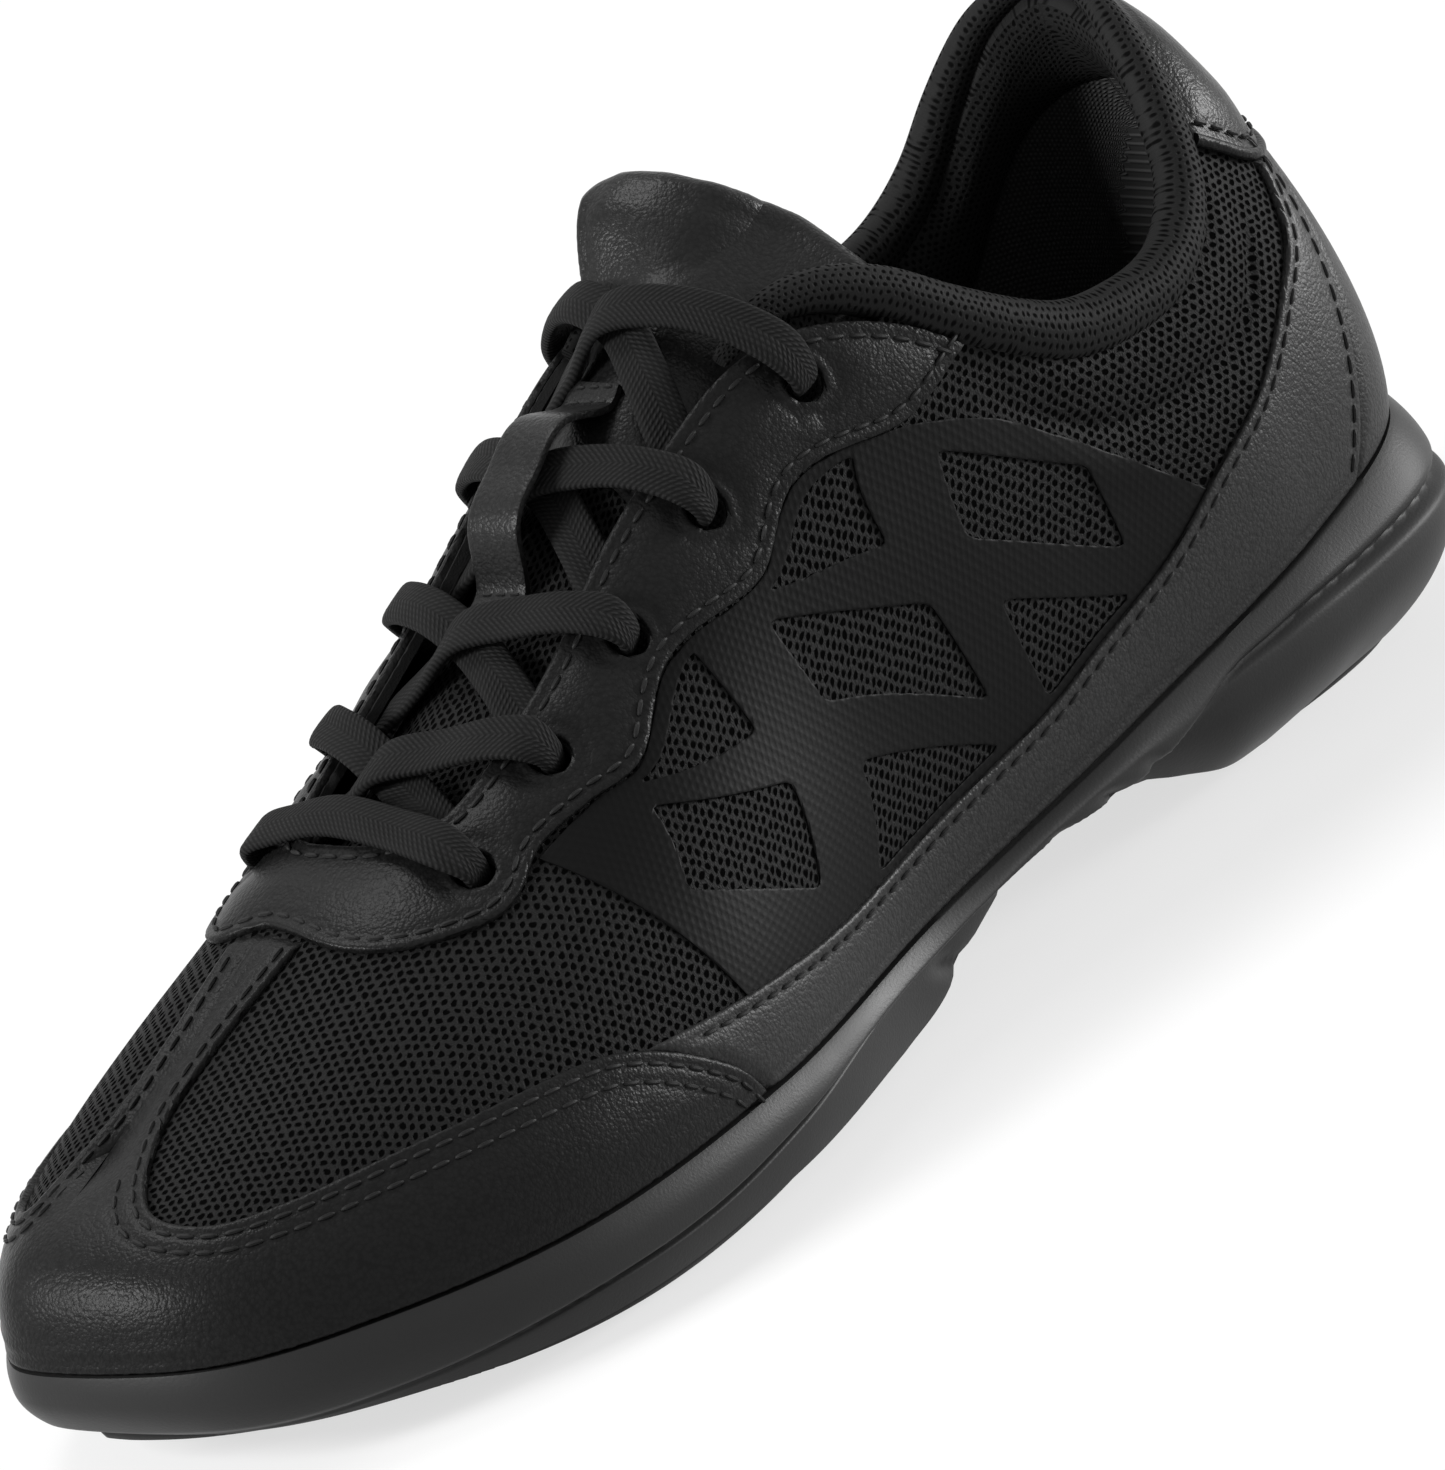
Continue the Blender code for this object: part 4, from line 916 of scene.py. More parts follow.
def film_material():
    """Heat-pressed film that shows the cloth below faintly."""
    n = Nodes("film")
    away = n.hexes(n.cloth(), 1.3)
    canvas = n.span(away, 0.1, 0.5)
    fine = n.noise(n.object_mm(), 1.6, 3.0)
    height = n.math("ADD", n.math("MULTIPLY", canvas, 0.7), n.math("MULTIPLY", fine, 0.6))
    n.set(Base_Color=grey(0.0042), Roughness=0.46, IOR=1.14)
    n.bump(height, 0.035)
    return n.material


def plain_material(name, tone, roughness, relief=0.01, scale=2.0):
    """One grey with a slight grain."""
    n = Nodes(name)
    n.set(Base_Color=grey(tone), Roughness=roughness, IOR=1.25)
    n.bump(n.noise(n.object_mm(), scale, 2.0), relief)
    return n.material


LEATHER = leather_material()
TONGUE_LEATHER = leather_material("tongue_leather", 0.0095, 0.34, 1.24)
# Painted highlight: the rands and heel stay take the same leather in a lighter copy, standing in for sheen
# the rear lamp does not give them.
HEEL_LEATHER_PAINTED_HIGHLIGHT = leather_material("heel_leather_painted_highlight", 0.015, 0.42, 1.27)
SIDE_MESH = mesh_material("side_mesh", 1.55)
TONGUE_MESH = mesh_material("tongue_mesh_cloth", 1.4)
# The last number is the collar mesh's hole tone: painted shade for the holes' depth, partly the dark layers
# behind.
COLLAR_MESH = mesh_material("collar_mesh", 1.0, 0.013, (0.12, 0.36), 0.12, (1.0, 1.0), 0.0045)
# Painted light: the inner cloth is given a far lighter tone than the shoe's other blacks, standing in for
# light reaching the shaded inside of the shoe.
INNER_CLOTH_PAINTED_LIGHT = weave_material("inner_cloth_painted_light", 0.9, 0.06)
LACE_BRAID = lace_material()
RUBBER = rubber_material()
TREAD = rubber_material("tread_rubber", 0.016, 0.58)
FILM = film_material()
THREAD = plain_material("thread", 0.010, 0.55, 0.03, 6.0)
BOARD = plain_material("board", 0.05, 0.85, 0.05)
FOAM = plain_material("foam", 0.018, 0.9, 0.06)
PLASTIC = plain_material("aglet_plastic", 0.010, 0.3)
INNER_CLOTH_PLAIN = plain_material("insole_cloth", 0.012, 0.85, 0.08, 4.0)


# ---------------------------------------------------------------- the tongue's sizes
# Angles of its lower end and its tip, the half width of its padding, and where its leather starts.
TONGUE_LOW = 119.0
TONGUE_TIP = 72.5
TONGUE_SHARE = [
    (72.5, 0.44), (76, 0.43), (79.5, 0.37), (82, 0.355), (90, 0.335), (105, 0.32), (119, 0.30),
]
PANEL_START = 92.0

# The strap over the lace: its angles, its rise by share of its length, and its rows of stitches.
KEEPER_SPAN = (100.5, 87.5)
KEEPER_RISE = 6.9
KEEPER_ARCH = [(0, 0.0), (0.10, 0.0), (0.27, 0.85), (0.5, 1.0), (0.73, 0.85), (0.90, 0.0), (1, 0.0)]
KEEPER_STITCHING = (0.02, 0.085, 0.915, 0.98)


# ---------------------------------------------------------------- outlines of the full layers
# Millimetres of skin for one unit of height, near the eyelets.
SKIN_SPAN = 75.0


def throat_limit(margin):
    """Height where a full layer stops: outside the eyelets, then below the collar."""
    eyelet_edge = EYELET_RADIUS / SKIN_SPAN + margin
    table = [(a, h - eyelet_edge) for a, h in EYELETS]
    return sorted(table)


def layer_top(angle, collar_drop, margin):
    """Top edge of a layer at an angle, 1 where it closes over the toes."""
    side_angle = folded(angle)
    collar = smooth(COLLAR_LINE, side_angle) - collar_drop
    eyelets = smooth(throat_limit(margin), side_angle)
    join = smooth([(68, 0.0), (76, 1.0)], np.clip(side_angle, 68, 76))
    top = collar * (1 - join) + np.minimum(eyelets, collar) * join
    first, last = THROAT_CLOSES
    closing = np.clip((side_angle - first) / (last - first), 0, 1)
    return top * (1 - closing) + closing


# ---------------------------------------------------------------- the upper's cloth
CLOTH_FRONT = 1.0
LEATHER_BACK = 0.98
QUILT_DROP = 0.115


def ripple(places, size, seed):
    """Gentle unevenness of cloth and leather, -1 to 1, from a few crossed waves."""
    points = skin_point(places[..., 0], places[..., 1])
    total = 0.0
    for k in range(5):
        turn = seed + 2.4 * k
        way = unit(np.array([math.cos(turn), math.sin(turn * 1.7), math.cos(turn * 0.6)]))
        total = total + np.sin(points @ way * 2 * math.pi / (size * (1 + 0.23 * k)) + seed * k)
    return total / 5


def cloth_relief(places):
    """How far the upper's cloth sits in from its plain depth."""
    side_angle = folded(places[..., 0])
    collar = smooth(COLLAR_LINE, side_angle)
    height = places[..., 1]
    window = rise_between(side_angle, 33, 40) * rise_between(side_angle, 69, 62)
    quilt = collar - QUILT_DROP - 0.02 * rise_between(side_angle, 52, 40)
    crease = 0.75 * ridge(height, quilt, 0.011)
    pad = -0.75 * ridge(height, (quilt + collar) / 2, 0.035)
    below = -0.30 * ridge(height, quilt - 0.05, 0.03)
    tuck = 0.7 * rise_between(height, collar - 0.035, collar - 0.010)
    near_collar = rise_between(side_angle, 74, 68)
    return window * (crease + pad + below) + tuck * near_collar + 0.12 * ripple(places, 26, 1.3)


def layer_grid(low, collar_drop, margin, rows, columns):
    """Places all round the foot, from a height near the feather line up to the layer's top."""
    angle = np.linspace(0, 360, columns)
    top = layer_top(angle, collar_drop, margin)
    shares = np.linspace(0, 1, rows)[:, None]
    height = low + (top - low)[None, :] * shares
    return np.stack([np.broadcast_to(angle, height.shape), height], -1)


def layer_solid(name, places, front, back):
    """A whole layer of the upper, welded along the heel and where it closes over the toes."""
    rows, columns = places.shape[:2]
    outer, inner = skin(places, front), skin(places, back)
    count = rows * columns
    faces = paired_faces(rows, columns)
    for c in range(columns - 1):
        faces.append((c + 1, c, c + count, c + 1 + count))
        if min(places[-1, c, 1], places[-1, c + 1, 1]) < 0.9999:
            a = (rows - 1) * columns + c
            faces.append((a, a + 1, a + 1 + count, a + count))
    uv = cloth_map(places).reshape(-1, 2)
    points = np.concatenate([outer.reshape(-1, 3), inner.reshape(-1, 3)])
    item = mesh_object(name, put(points), faces, np.concatenate([uv, uv]))
    return recalculated(item, WELD)


def build_cloth():
    places = layer_grid(0.02, 0.012, 0.022, 64, 521)
    front = CLOTH_FRONT + cloth_relief(places)
    item = layer_solid("upper_air_mesh", places, front, front + MESH_THICKNESS)
    finish_piece(item, SIDE_MESH, nodes=["upper_mesh"])
    places = layer_grid(0.05, 0.160, 0.030, 30, 241)
    front = np.full(places.shape[:2], LINING_DEPTH)
    item = layer_solid("upper_inner_lining", places, front, front + LINING_THICKNESS)
    finish_piece(item, INNER_CLOTH_PAINTED_LIGHT, nodes=["upper_lining"])


COLLAR_PROFILE = [(0, 0.05), (0.12, 0.55), (0.35, 0.95), (0.6, 1.0), (0.85, 0.75), (1, 0.30)]


def build_collar():
    """The collar's padding with its lining, and the rolled binding along its edge."""
    angle = np.linspace(-78, 78, 261)
    side_angle = np.abs(angle)
    top = smooth(COLLAR_LINE, side_angle) - 0.012
    drop = smooth([(0, 0.19), (40, 0.17), (64, 0.15), (78, 0.10)], side_angle)
    shares = np.linspace(0, 1, 34)[:, None]
    height = (top - drop)[None] + drop[None] * shares
    places = np.stack([np.broadcast_to(angle, height.shape), height], -1)
    ends = smooth([(0, 1.0), (48, 1.0), (66, 0.45), (78, 0.12)], side_angle)[None]
    profile = smooth(COLLAR_PROFILE, shares)
    outer = np.full(height.shape, STIFFENER_DEPTH - 0.15)
    fill = 1.5 + 2.9 * profile * ends + 0.12 * ripple(places, 21, 2.1)
    uv = cloth_map(places)
    item = slab("collar_padding", skin(places, outer), skin(places, outer + fill), uv)
    finish_piece(item, COLLAR_MESH, nodes=["collar_foam", "collar_lining"])
    angle = np.linspace(-82.6, 82.6, 420)
    side_angle = np.abs(angle)
    height = smooth(COLLAR_LINE, side_angle)
    path = skin(np.stack([angle, height], -1), np.full(len(angle), BINDING_RADIUS + 0.1))
    upward = skin_frame(angle, height)[1]
    roll = smooth([(0, 2.7), (40, 2.9), (62, 3.3), (76, 3.8), (83, 3.8)], side_angle)
    roll = roll * smooth([(0, 1.0), (79, 1.0), (82.6, 0.55)], side_angle)
    item = sweep("collar_binding_roll", path, upward, roll * 1.06, roll, 22, 1.0)
    finish_piece(item, COLLAR_MESH, nodes=["collar_binding"])


# ---------------------------------------------------------------- the upper's leather


# Stitch rows from a panel's edge, the thread's depth, the width of its groove, the height at
# which panels end by the feather line, and how far one layer tucks under the next.
NEAR_SEAM = 1.6
FAR_SEAM = 4.0
SEAM_DEPTH = 0.10
SEAM_WIDTH = 0.55
FOOT = 0.003
TUCK = 1.05


def crossed(table, value):
    """The first column of a table's rows, looked up by their second column, which rises."""
    return np.interp(value, [row[1] for row in table], [row[0] for row in table])


def build_toe_cap():
    edge = resample(CAP_EDGE, 160)
    strip = [(125.0, 0.905), (123.6, 0.905), (123.6, 1.0)]
    seam = straight([(123.6, 1.0), (180.0, 1.0)], 80)[1:-1]
    rim = straight([(108.4, FOOT), (180.0, FOOT)], 90)[1:]
    lateral = np.concatenate([seam[::-1], strip[::-1], edge[::-1], rim[:-1]])
    medial = on_side(lateral[::-1], -1)
    outline = np.concatenate([[(180.0, 1.0)], lateral, [rim[-1]], medial])
    visible = np.concatenate([edge, [strip[0]]])

    def shape(places, away):
        side_angle, height = folded(places[..., 0]), places[..., 1]
        under_stay = rise_between(side_angle, 127.6, 125.6) * rise_between(height, 0.86, 0.90)
        grooves = ridge(away, NEAR_SEAM, SEAM_WIDTH) + ridge(away, FAR_SEAM, SEAM_WIDTH)
        swell = -0.25 * rise_between(away, 4.5, 12.0)
        return TUCK * under_stay + 0.22 * grooves + swell + 0.10 * ripple(places, 30, 0.4)

    item = panel("toe_cap_leather", "around", outline, thickness=LEATHER_BACK,
                 rings=(0.2, 0.5, 1.0, 1.6, 2.2, 3.1, 4.0, 4.9), shape=shape,
                 rims=[visible, on_side(visible, -1), straight([(108.4, FOOT), (251.6, FOOT)], 400)])
    finish_piece(item, LEATHER, ["toe_cap"])
    lines = []
    for side in (1, -1):
        lines.append(seam_line("around", on_side(edge, side), NEAR_SEAM, SEAM_DEPTH, -side))
        side_edge = on_side(edge[edge[:, 1] < 0.80], side)
        lines.append(seam_line("around", side_edge, FAR_SEAM, SEAM_DEPTH, -side))
    finish_piece(stitches("toe_cap_thread", lines), THREAD)


RAND_TIP = [(28.6, 0.375), (26.2, 0.410), (25.2, 0.445)]
RAND_REAR = [(23.2, 0.445), (22.6, 0.400), (24.2, 0.345), (28.5, 0.235), (33.2, 0.115), (37.4, 0.003)]


def build_rands():
    top = resample([(117.0, 0.236)] + RAND_TOP[:-1] + RAND_TIP, 170)
    rear = resample(RAND_REAR, 60)
    bottom = straight([(37.4, FOOT), (112.0, FOOT)], 90)[1:]
    front = straight([(112.0, FOOT), (117.0, 0.236)], 30)[1:-1]
    outline = np.concatenate([top, rear, bottom, front])

    def shape(places, away):
        side_angle, height = folded(places[..., 0]), places[..., 1]
        edge = crossed(CAP_EDGE[:4], np.clip(height, 0.004, 0.30))
        tab = smooth(TAB_BOTTOM, side_angle)
        sink = rise_between(side_angle, edge - 1.0, edge + 0.4)
        under_tab = rise_between(height, tab - 0.016, tab - 0.002) * rise_between(side_angle, 37, 34)
        groove = 0.20 * ridge(away, NEAR_SEAM, 0.5)
        return TUCK * np.maximum(sink, under_tab) + groove + 0.10 * ripple(places, 34, 0.9)

    for name, side in (("lateral_rand", 1), ("medial_rand", -1)):
        rims = [on_side(line, side) for line in (top, rear, bottom)]
        item = panel(name + "_leather", "around", on_side(outline, side), thickness=LEATHER_BACK,
                     rings=(0.2, 0.5, 1.0, 1.6, 2.2, 3.0), shape=shape, rims=rims, step=1.6)
        finish_piece(item, HEEL_LEATHER_PAINTED_HIGHLIGHT, [name])
        lines = [seam_line("around", on_side(line, side), NEAR_SEAM, SEAM_DEPTH, side)
                 for line in (top[top[:, 0] < 112.0], rear)]
        finish_piece(stitches(name + "_thread", lines), THREAD)


TAB_REACH = 34.5
TAB_SEAM = 2.4


def build_heel():
    """The heel's stay, and the padded tab above it with its piping."""
    side_line = straight([(40.5, FOOT), (27.0, 0.37), (26.0, 0.440)], 60)
    top = straight([(26.0, 0.440), (-26.0, 0.440)], 50)[1:-1]
    bottom = straight([(-40.5, FOOT), (40.5, FOOT)], 70)[1:-1]
    mirrored = side_line[::-1] * np.array([-1.0, 1.0])
    outline = np.concatenate([side_line, top, mirrored, bottom])

    def under(places, away):
        side_angle, height = folded(places[..., 0]), places[..., 1]
        rear = crossed(RAND_REAR[:1:-1], height)
        sides = rise_between(side_angle, rear - 0.8, rear + 0.6)
        tab_bottom = smooth(TAB_BOTTOM, side_angle)
        tab = rise_between(height, tab_bottom - 0.016, tab_bottom - 0.002)
        return TUCK * np.maximum(sides, tab) + 0.08 * ripple(places, 30, 1.9)

    item = panel("heel_stay_leather", "around", outline, thickness=LEATHER_BACK, shape=under, step=1.6)
    finish_piece(item, HEEL_LEATHER_PAINTED_HIGHLIGHT, ["heel_stay"])
    angle = np.linspace(-TAB_REACH, TAB_REACH, 90)
    low = np.stack([angle, smooth(TAB_BOTTOM, np.abs(angle))], -1)
    high = np.stack([angle[::-1], smooth(COLLAR_LINE, np.abs(angle)) - 0.016], -1)

    def puff(places, away):
        collar = smooth(COLLAR_LINE, folded(places[..., 0]))
        tuck = 0.8 * rise_between(places[..., 1], collar - 0.06, collar - 0.02)
        swell = -0.9 * rise_between(away, 0.5, 9.0)
        return swell + 0.22 * ridge(away, TAB_SEAM, SEAM_WIDTH) + tuck

    item = panel("heel_tab_leather", "around", np.concatenate([low, high]), thickness=LEATHER_BACK,
                 shape=puff, rings=(0.2, 0.5, 1.0, 1.7, 2.4, 3.1))
    finish_piece(item, TONGUE_LEATHER, ["heel_tab"])
    ends = (smooth(TAB_BOTTOM, TAB_REACH), smooth(COLLAR_LINE, TAB_REACH) - 0.03)
    sides = [low, straight([(TAB_REACH, height) for height in ends], 20),
             straight([(-TAB_REACH, height) for height in ends[::-1]], 20)]
    lines = [seam_line("around", line, TAB_SEAM, -0.25) for line in sides]
    finish_piece(stitches("heel_tab_thread", lines), THREAD)
    piping = skin(low, np.full(len(low), 0.25))
    upward = skin_frame(low[:, 0], low[:, 1])[1]
    item = sweep("heel_tab_piping", piping, upward, 1.7, 1.7, 14, 1.0)
    finish_piece(item, LEATHER)


def mirrored_line(points):
    """A smooth line from the lateral side over the spine to the medial side, on the across chart."""
    lateral = [(a, -(1 - h)) for a, h in points]
    if abs(lateral[0][1]) < 1e-9:
        lateral = lateral[::-1]
    medial = [(a, -s) for a, s in lateral[::-1]][1:]
    return lateral + medial


STAY_SEAM = 1.7
EYELET_CUT = 2.75


def build_eyestay():
    """The eyestay with its eyelets, and the cloth that backs it."""
    inner = resample(mirrored_line(EYESTAY_INNER), 260)
    outer = resample(mirrored_line(EYESTAY_OUTER), 320)
    outline = np.concatenate([outer, inner[::-1]])
    holes = [circle_on("across", (angle, side * (1 - height)), EYELET_CUT)
             for side in (-1, 1) for angle, height in EYELETS]

    def shape(places, away):
        groove = 0.22 * ridge(away, STAY_SEAM, SEAM_WIDTH)
        swell = -0.35 * rise_between(away, 1.5, 7.0) - 0.12 * rise_between(folded(places[..., 0]), 118, 124)
        return groove + swell + 0.08 * ripple(places, 24, 3.0)

    item = panel("eyestay_leather", "across", outline, holes, thickness=LEATHER_BACK, shape=shape,
                 rings=(0.2, 0.5, 1.0, 1.7, 2.4), step=1.45)
    finish_piece(item, LEATHER, ["eyestay"])
    lines = [seam_line("across", outer, STAY_SEAM, 0.05), seam_line("across", inner, 1.9, 0.05, -1)]
    finish_piece(stitches("eyestay_thread", lines), THREAD)
    limit = [(a, h + 0.004) for a, h in throat_limit(0.022)]
    low = [(119.8, 1.0), (118.9, 0.90), (117.9, 0.78), (116.6, 0.690)] + limit[::-1][1:4]
    low += [(84, 0.590), (79.4, 0.572), (75.5, 0.566)]
    high = EYESTAY_INNER[:9] + [(76.0, 0.630)]
    high = [(a + 0.25, h + 0.003 if h < 1 else h) for a, h in high]
    low, high = (resample(mirrored_line(line), 240) for line in (low, high))
    depth = CLOTH_FRONT + 0.02
    item = panel("eyestay_backing", "across", np.concatenate([low, high[::-1]]), holes, depth=depth,
                 step=1.8, thickness=MESH_DEPTH + MESH_THICKNESS - depth, rings=(0.3, 1.0), edge=0.3)
    finish_piece(item, INNER_CLOTH_PLAIN, ["eyestay_backer"])


FILM_TOP = [(112.2, 0.612), (107.4, 0.590), (103, 0.552), (97.4, 0.588), (89.4, 0.514), (83.6, 0.540),
            (75, 0.470), (68.5, 0.400)]
FILM_BOTTOM = [(106.6, 0.150), (94.6, 0.100), (83, 0.092), (74.6, 0.092), (68.6, 0.108), (60.5, 0.130),
               (54.5, 0.175)]
FILM_BAR = 0.17
FILM_DIAMONDS = 3
FILM_STOPS = 200
FILM_CORNER = 0.07
FILM_SIZE = (60, 30)


def film_place(u, v):
    """A film point from its share along (0 front) and down (0 top)."""
    stops = np.linspace(0, 1, FILM_STOPS)
    top, bottom = (np.stack([np.interp(u, stops, column) for column in resample(line, FILM_STOPS).T], -1)
                   for line in (FILM_TOP, FILM_BOTTOM))
    v = np.asarray(v, float)[..., None]
    return top * (1 - v) + bottom * v


def film_window(corners):
    """A window with straight sides and small rounded corners, in shares of the film."""
    corners = np.array(corners, float)
    points = []
    for before, here, after in zip(np.roll(corners, 1, 0), corners, np.roll(corners, -1, 0)):
        for t in np.linspace(0, 1, 6):
            a = here + (before - here) * FILM_CORNER * (1 - t)
            b = here + (after - here) * FILM_CORNER * t
            points.append(a * (1 - t) + b * t)
    filled = []
    for first, second in zip(points, points[1:] + points[:1]):
        steps = max(int(np.linalg.norm((second - first) * FILM_SIZE) / 0.8), 1)
        filled += [first + (second - first) * k / steps for k in range(steps)]
    filled = np.array(filled)
    return film_place(filled[:, 0], filled[:, 1])


def film_windows():
    """Diamonds between crossing bars, with half diamonds above and below between them."""
    pitch = 1.0 / FILM_DIAMONDS
    reach = pitch / 2 - FILM_BAR * pitch
    tall = 0.5 * reach / (pitch / 2)
    windows = []
    for k in range(FILM_DIAMONDS):
        middle = (k + 0.5) * pitch
        windows.append([(middle - reach, 0.5), (middle, 0.5 + tall),
                        (middle + reach, 0.5), (middle, 0.5 - tall)])
    for k in range(1, FILM_DIAMONDS):
        middle = k * pitch
        windows.append([(middle - reach, 0.05), (middle, tall), (middle + reach, 0.05)])
        windows.append([(middle - reach, 0.95), (middle + reach, 0.95), (middle, 1 - tall)])
    return [film_window(window) for window in windows]


def build_film():
    along = np.linspace(0, 1, 160)
    down = np.linspace(0.02, 0.98, 20)
    outline = np.concatenate([
        film_place(along, np.zeros(160)), film_place(np.ones(20), down),
        film_place(along[::-1], np.ones(160)), film_place(np.zeros(20), down[::-1]),
    ])
    windows = film_windows()
    for name, side in (("film_lateral", 1), ("film_medial", -1)):
        item = panel(name + "_trellis", "around", on_side(outline, side),
                     [on_side(window, side) for window in windows], cloth=True,
                     depth=CLOTH_FRONT - FILM_THICKNESS, thickness=FILM_THICKNESS + 0.05, edge=0.16,
                     rings=(0.12, 0.3, 1.0), step=1.6, spacing=0.9,
                     shape=lambda places, away: cloth_relief(places))
        finish_piece(item, FILM, [name])


# ---------------------------------------------------------------- the lace
# One lace: both ends lie inside the shoe, it drops in at the top eyelets, crosses the throat
# four times on each side and closes with the bar over the front pair of eyelets.  A stop is
# (angle, signed share across the foot, depth below the skin, width, how far it lies along
# the foot: 0 crosses it, 1 runs along it).
# Depth of the lace's middle under the eyestay and its backing, and over the eyestay.
LACE_UNDER = MESH_DEPTH + MESH_THICKNESS + LACE_THICKNESS / 2 + 0.45
LACE_OVER = -LACE_THICKNESS / 2 - 0.75


def lace_crossing(pair, start_side):
    """From under an eyelet of one pair, over the throat, into the next pair's other eyelet."""
    low_angle, low_height = EYELETS[pair]
    high_angle, high_height = EYELETS[pair + 1]
    low_share = (1 - low_height) * start_side
    high_share = -(1 - high_height) * start_side
    reach = high_angle - low_angle
    cross_depth = 0.4 if start_side > 0 else 2.9
    return [
        (low_angle, low_share, LACE_UNDER, LACE_WIDTH_IN_EYELET, 0.0),
        (low_angle + 0.14 * reach, low_share * 0.74, LACE_UNDER, LACE_WIDTH, 0.0),
        (low_angle + 0.33 * reach, low_share * 0.36, LACE_UNDER - 0.4, LACE_WIDTH, 0.0),
        (low_angle + 0.50 * reach, 0.0, cross_depth, LACE_WIDTH, 0.0),
        (low_angle + 0.67 * reach, high_share * 0.34, 0.2, LACE_WIDTH, 0.0),
        (low_angle + 0.84 * reach, high_share * 0.66, LACE_OVER, LACE_WIDTH, 0.0),
        (low_angle + 0.96 * reach, high_share * 0.88, LACE_OVER - 0.4, LACE_WIDTH, 0.0),
        (high_angle, high_share, 0.0, LACE_WIDTH_IN_EYELET, 0.0),
    ]


def lace_side(side):
    """The stops from the front bar's eyelet on one side to this strand's free end."""
    stops = []
    for pair in range(len(EYELETS) - 1):
        stops += lace_crossing(pair, side)
        side = -side
    return stops + lace_end(side)


def lace_end(side):
    """Down through the top eyelet, inside the quarter, then along the insole's edge."""
    within = LINING_BACK + LACE_THICKNESS / 2 + 1.1
    angle, height = EYELETS[-1]
    stops = [
        (angle, 1 - height, LACE_UNDER, LACE_WIDTH_IN_EYELET, 0.0),
        (angle + 1.5, 0.415, within, LACE_WIDTH, 0.0),
        (angle + 4.5, 0.50, within + 0.3, LACE_WIDTH, 0.0),
        (angle + 8.0, 0.62, within + 0.3, LACE_WIDTH, 0.15),
        (angle + 12.0, 0.73, within + 0.3, LACE_WIDTH, 0.6),
        (angle + 18.0, 0.780, within + 0.8, LACE_WIDTH, 1.0),
        (angle + 26.0, 0.780, within + 1.0, LACE_WIDTH, 1.0),
        (angle + 34.0, 0.755, within + 1.8, LACE_WIDTH, 1.0),
        (angle + 41.0, 0.730, within + 3.0, LACE_WIDTH, 1.0),
    ]
    return [(a, share * side, *rest) for a, share, *rest in stops]


def lace_stops():
    """One strand's end, the bar over the front eyelets, and the other strand to its end."""
    angle, height = EYELETS[0]
    share = 1 - height
    bar = [(angle, -share, 0.0, LACE_WIDTH_IN_EYELET, 0.0)]
    bar += [(angle + 0.2, -share * 0.85, LACE_OVER - 0.4, LACE_WIDTH, 0.0)]
    bar += [(angle + 0.3, place * share, LACE_OVER, LACE_WIDTH, 0.0) for place in (-0.45, 0.0, 0.45)]
    bar += [(angle + 0.2, share * 0.85, LACE_OVER - 0.4, LACE_WIDTH, 0.0)]
    bar += [(angle, share, 0.0, LACE_WIDTH_IN_EYELET, 0.0)]
    return lace_side(-1)[::-1] + bar + lace_side(1)


def lace_frame(stops):
    """The lace's centre line and its sideways direction, both as smooth curves."""
    stops = np.array(stops)
    places = across_foot(stops[:, 0], stops[:, 1])
    centres = skin(places, stops[:, 2])
    along, upward, _ = skin_frame(places[:, 0], places[:, 1])
    turned = np.where(stops[:, 1] > 0, -1.0, 1.0)[:, None]
    lies = stops[:, 4][:, None]
    return centres, (along * (1 - lies) + upward * lies) * turned


def smooth_route(points, columns, count):
    """A smooth curve through the points, spaced by their distance; the columns go along with it."""
    gaps = np.linalg.norm(np.diff(points, axis=0), axis=1)
    knots = np.concatenate([[0.0], np.cumsum(gaps ** 0.75)])
    places = np.linspace(0, knots[-1], count)
    made = smooth_columns(knots, np.concatenate([points, columns], 1), places)
    return made[:, :3], made[:, 3:]


# ---------------------------------------------------------------- the tongue
TONGUE_BODY = TONGUE_LINING_DEPTH + MESH_THICKNESS - TONGUE_DEPTH
FOLD_START = (84.0, 77.5)


TONGUE_WIDTH = [
    (72.5, 0.50), (75, 0.495), (77.5, 0.46), (80, 0.40), (82, 0.36), (86, 0.335), (90, 0.335),
    (105, 0.32), (119, 0.30),
]


def tongue_outline(first, last):
    """The tongue's outline between two angles, and its rim without the seam at the first."""
    angle = np.linspace(first, last, 120)
    reach = smooth(TONGUE_WIDTH, angle)
    tip = last < TONGUE_TIP + 0.5
    if tip:
        close = np.clip((angle - last) / 2.2, 0, 1)
        reach = reach * (0.84 + 0.16 * np.sqrt(1 - (1 - close) ** 2))
    lateral = np.stack([angle, -reach], -1)
    medial = np.stack([angle[::-1], reach[::-1]], -1)
    across = np.linspace(-1, 1, 40)[1:-1]
    end = np.stack([np.full(len(across), last), across * reach[-1]], -1)
    if tip:
        end[:, 0] -= 0.3 * (1 - across ** 2)
    start = np.stack([np.full(len(across), first), across[::-1] * reach[0]], -1)
    return np.concatenate([lateral, end, medial, start]), np.concatenate([lateral, end, medial])


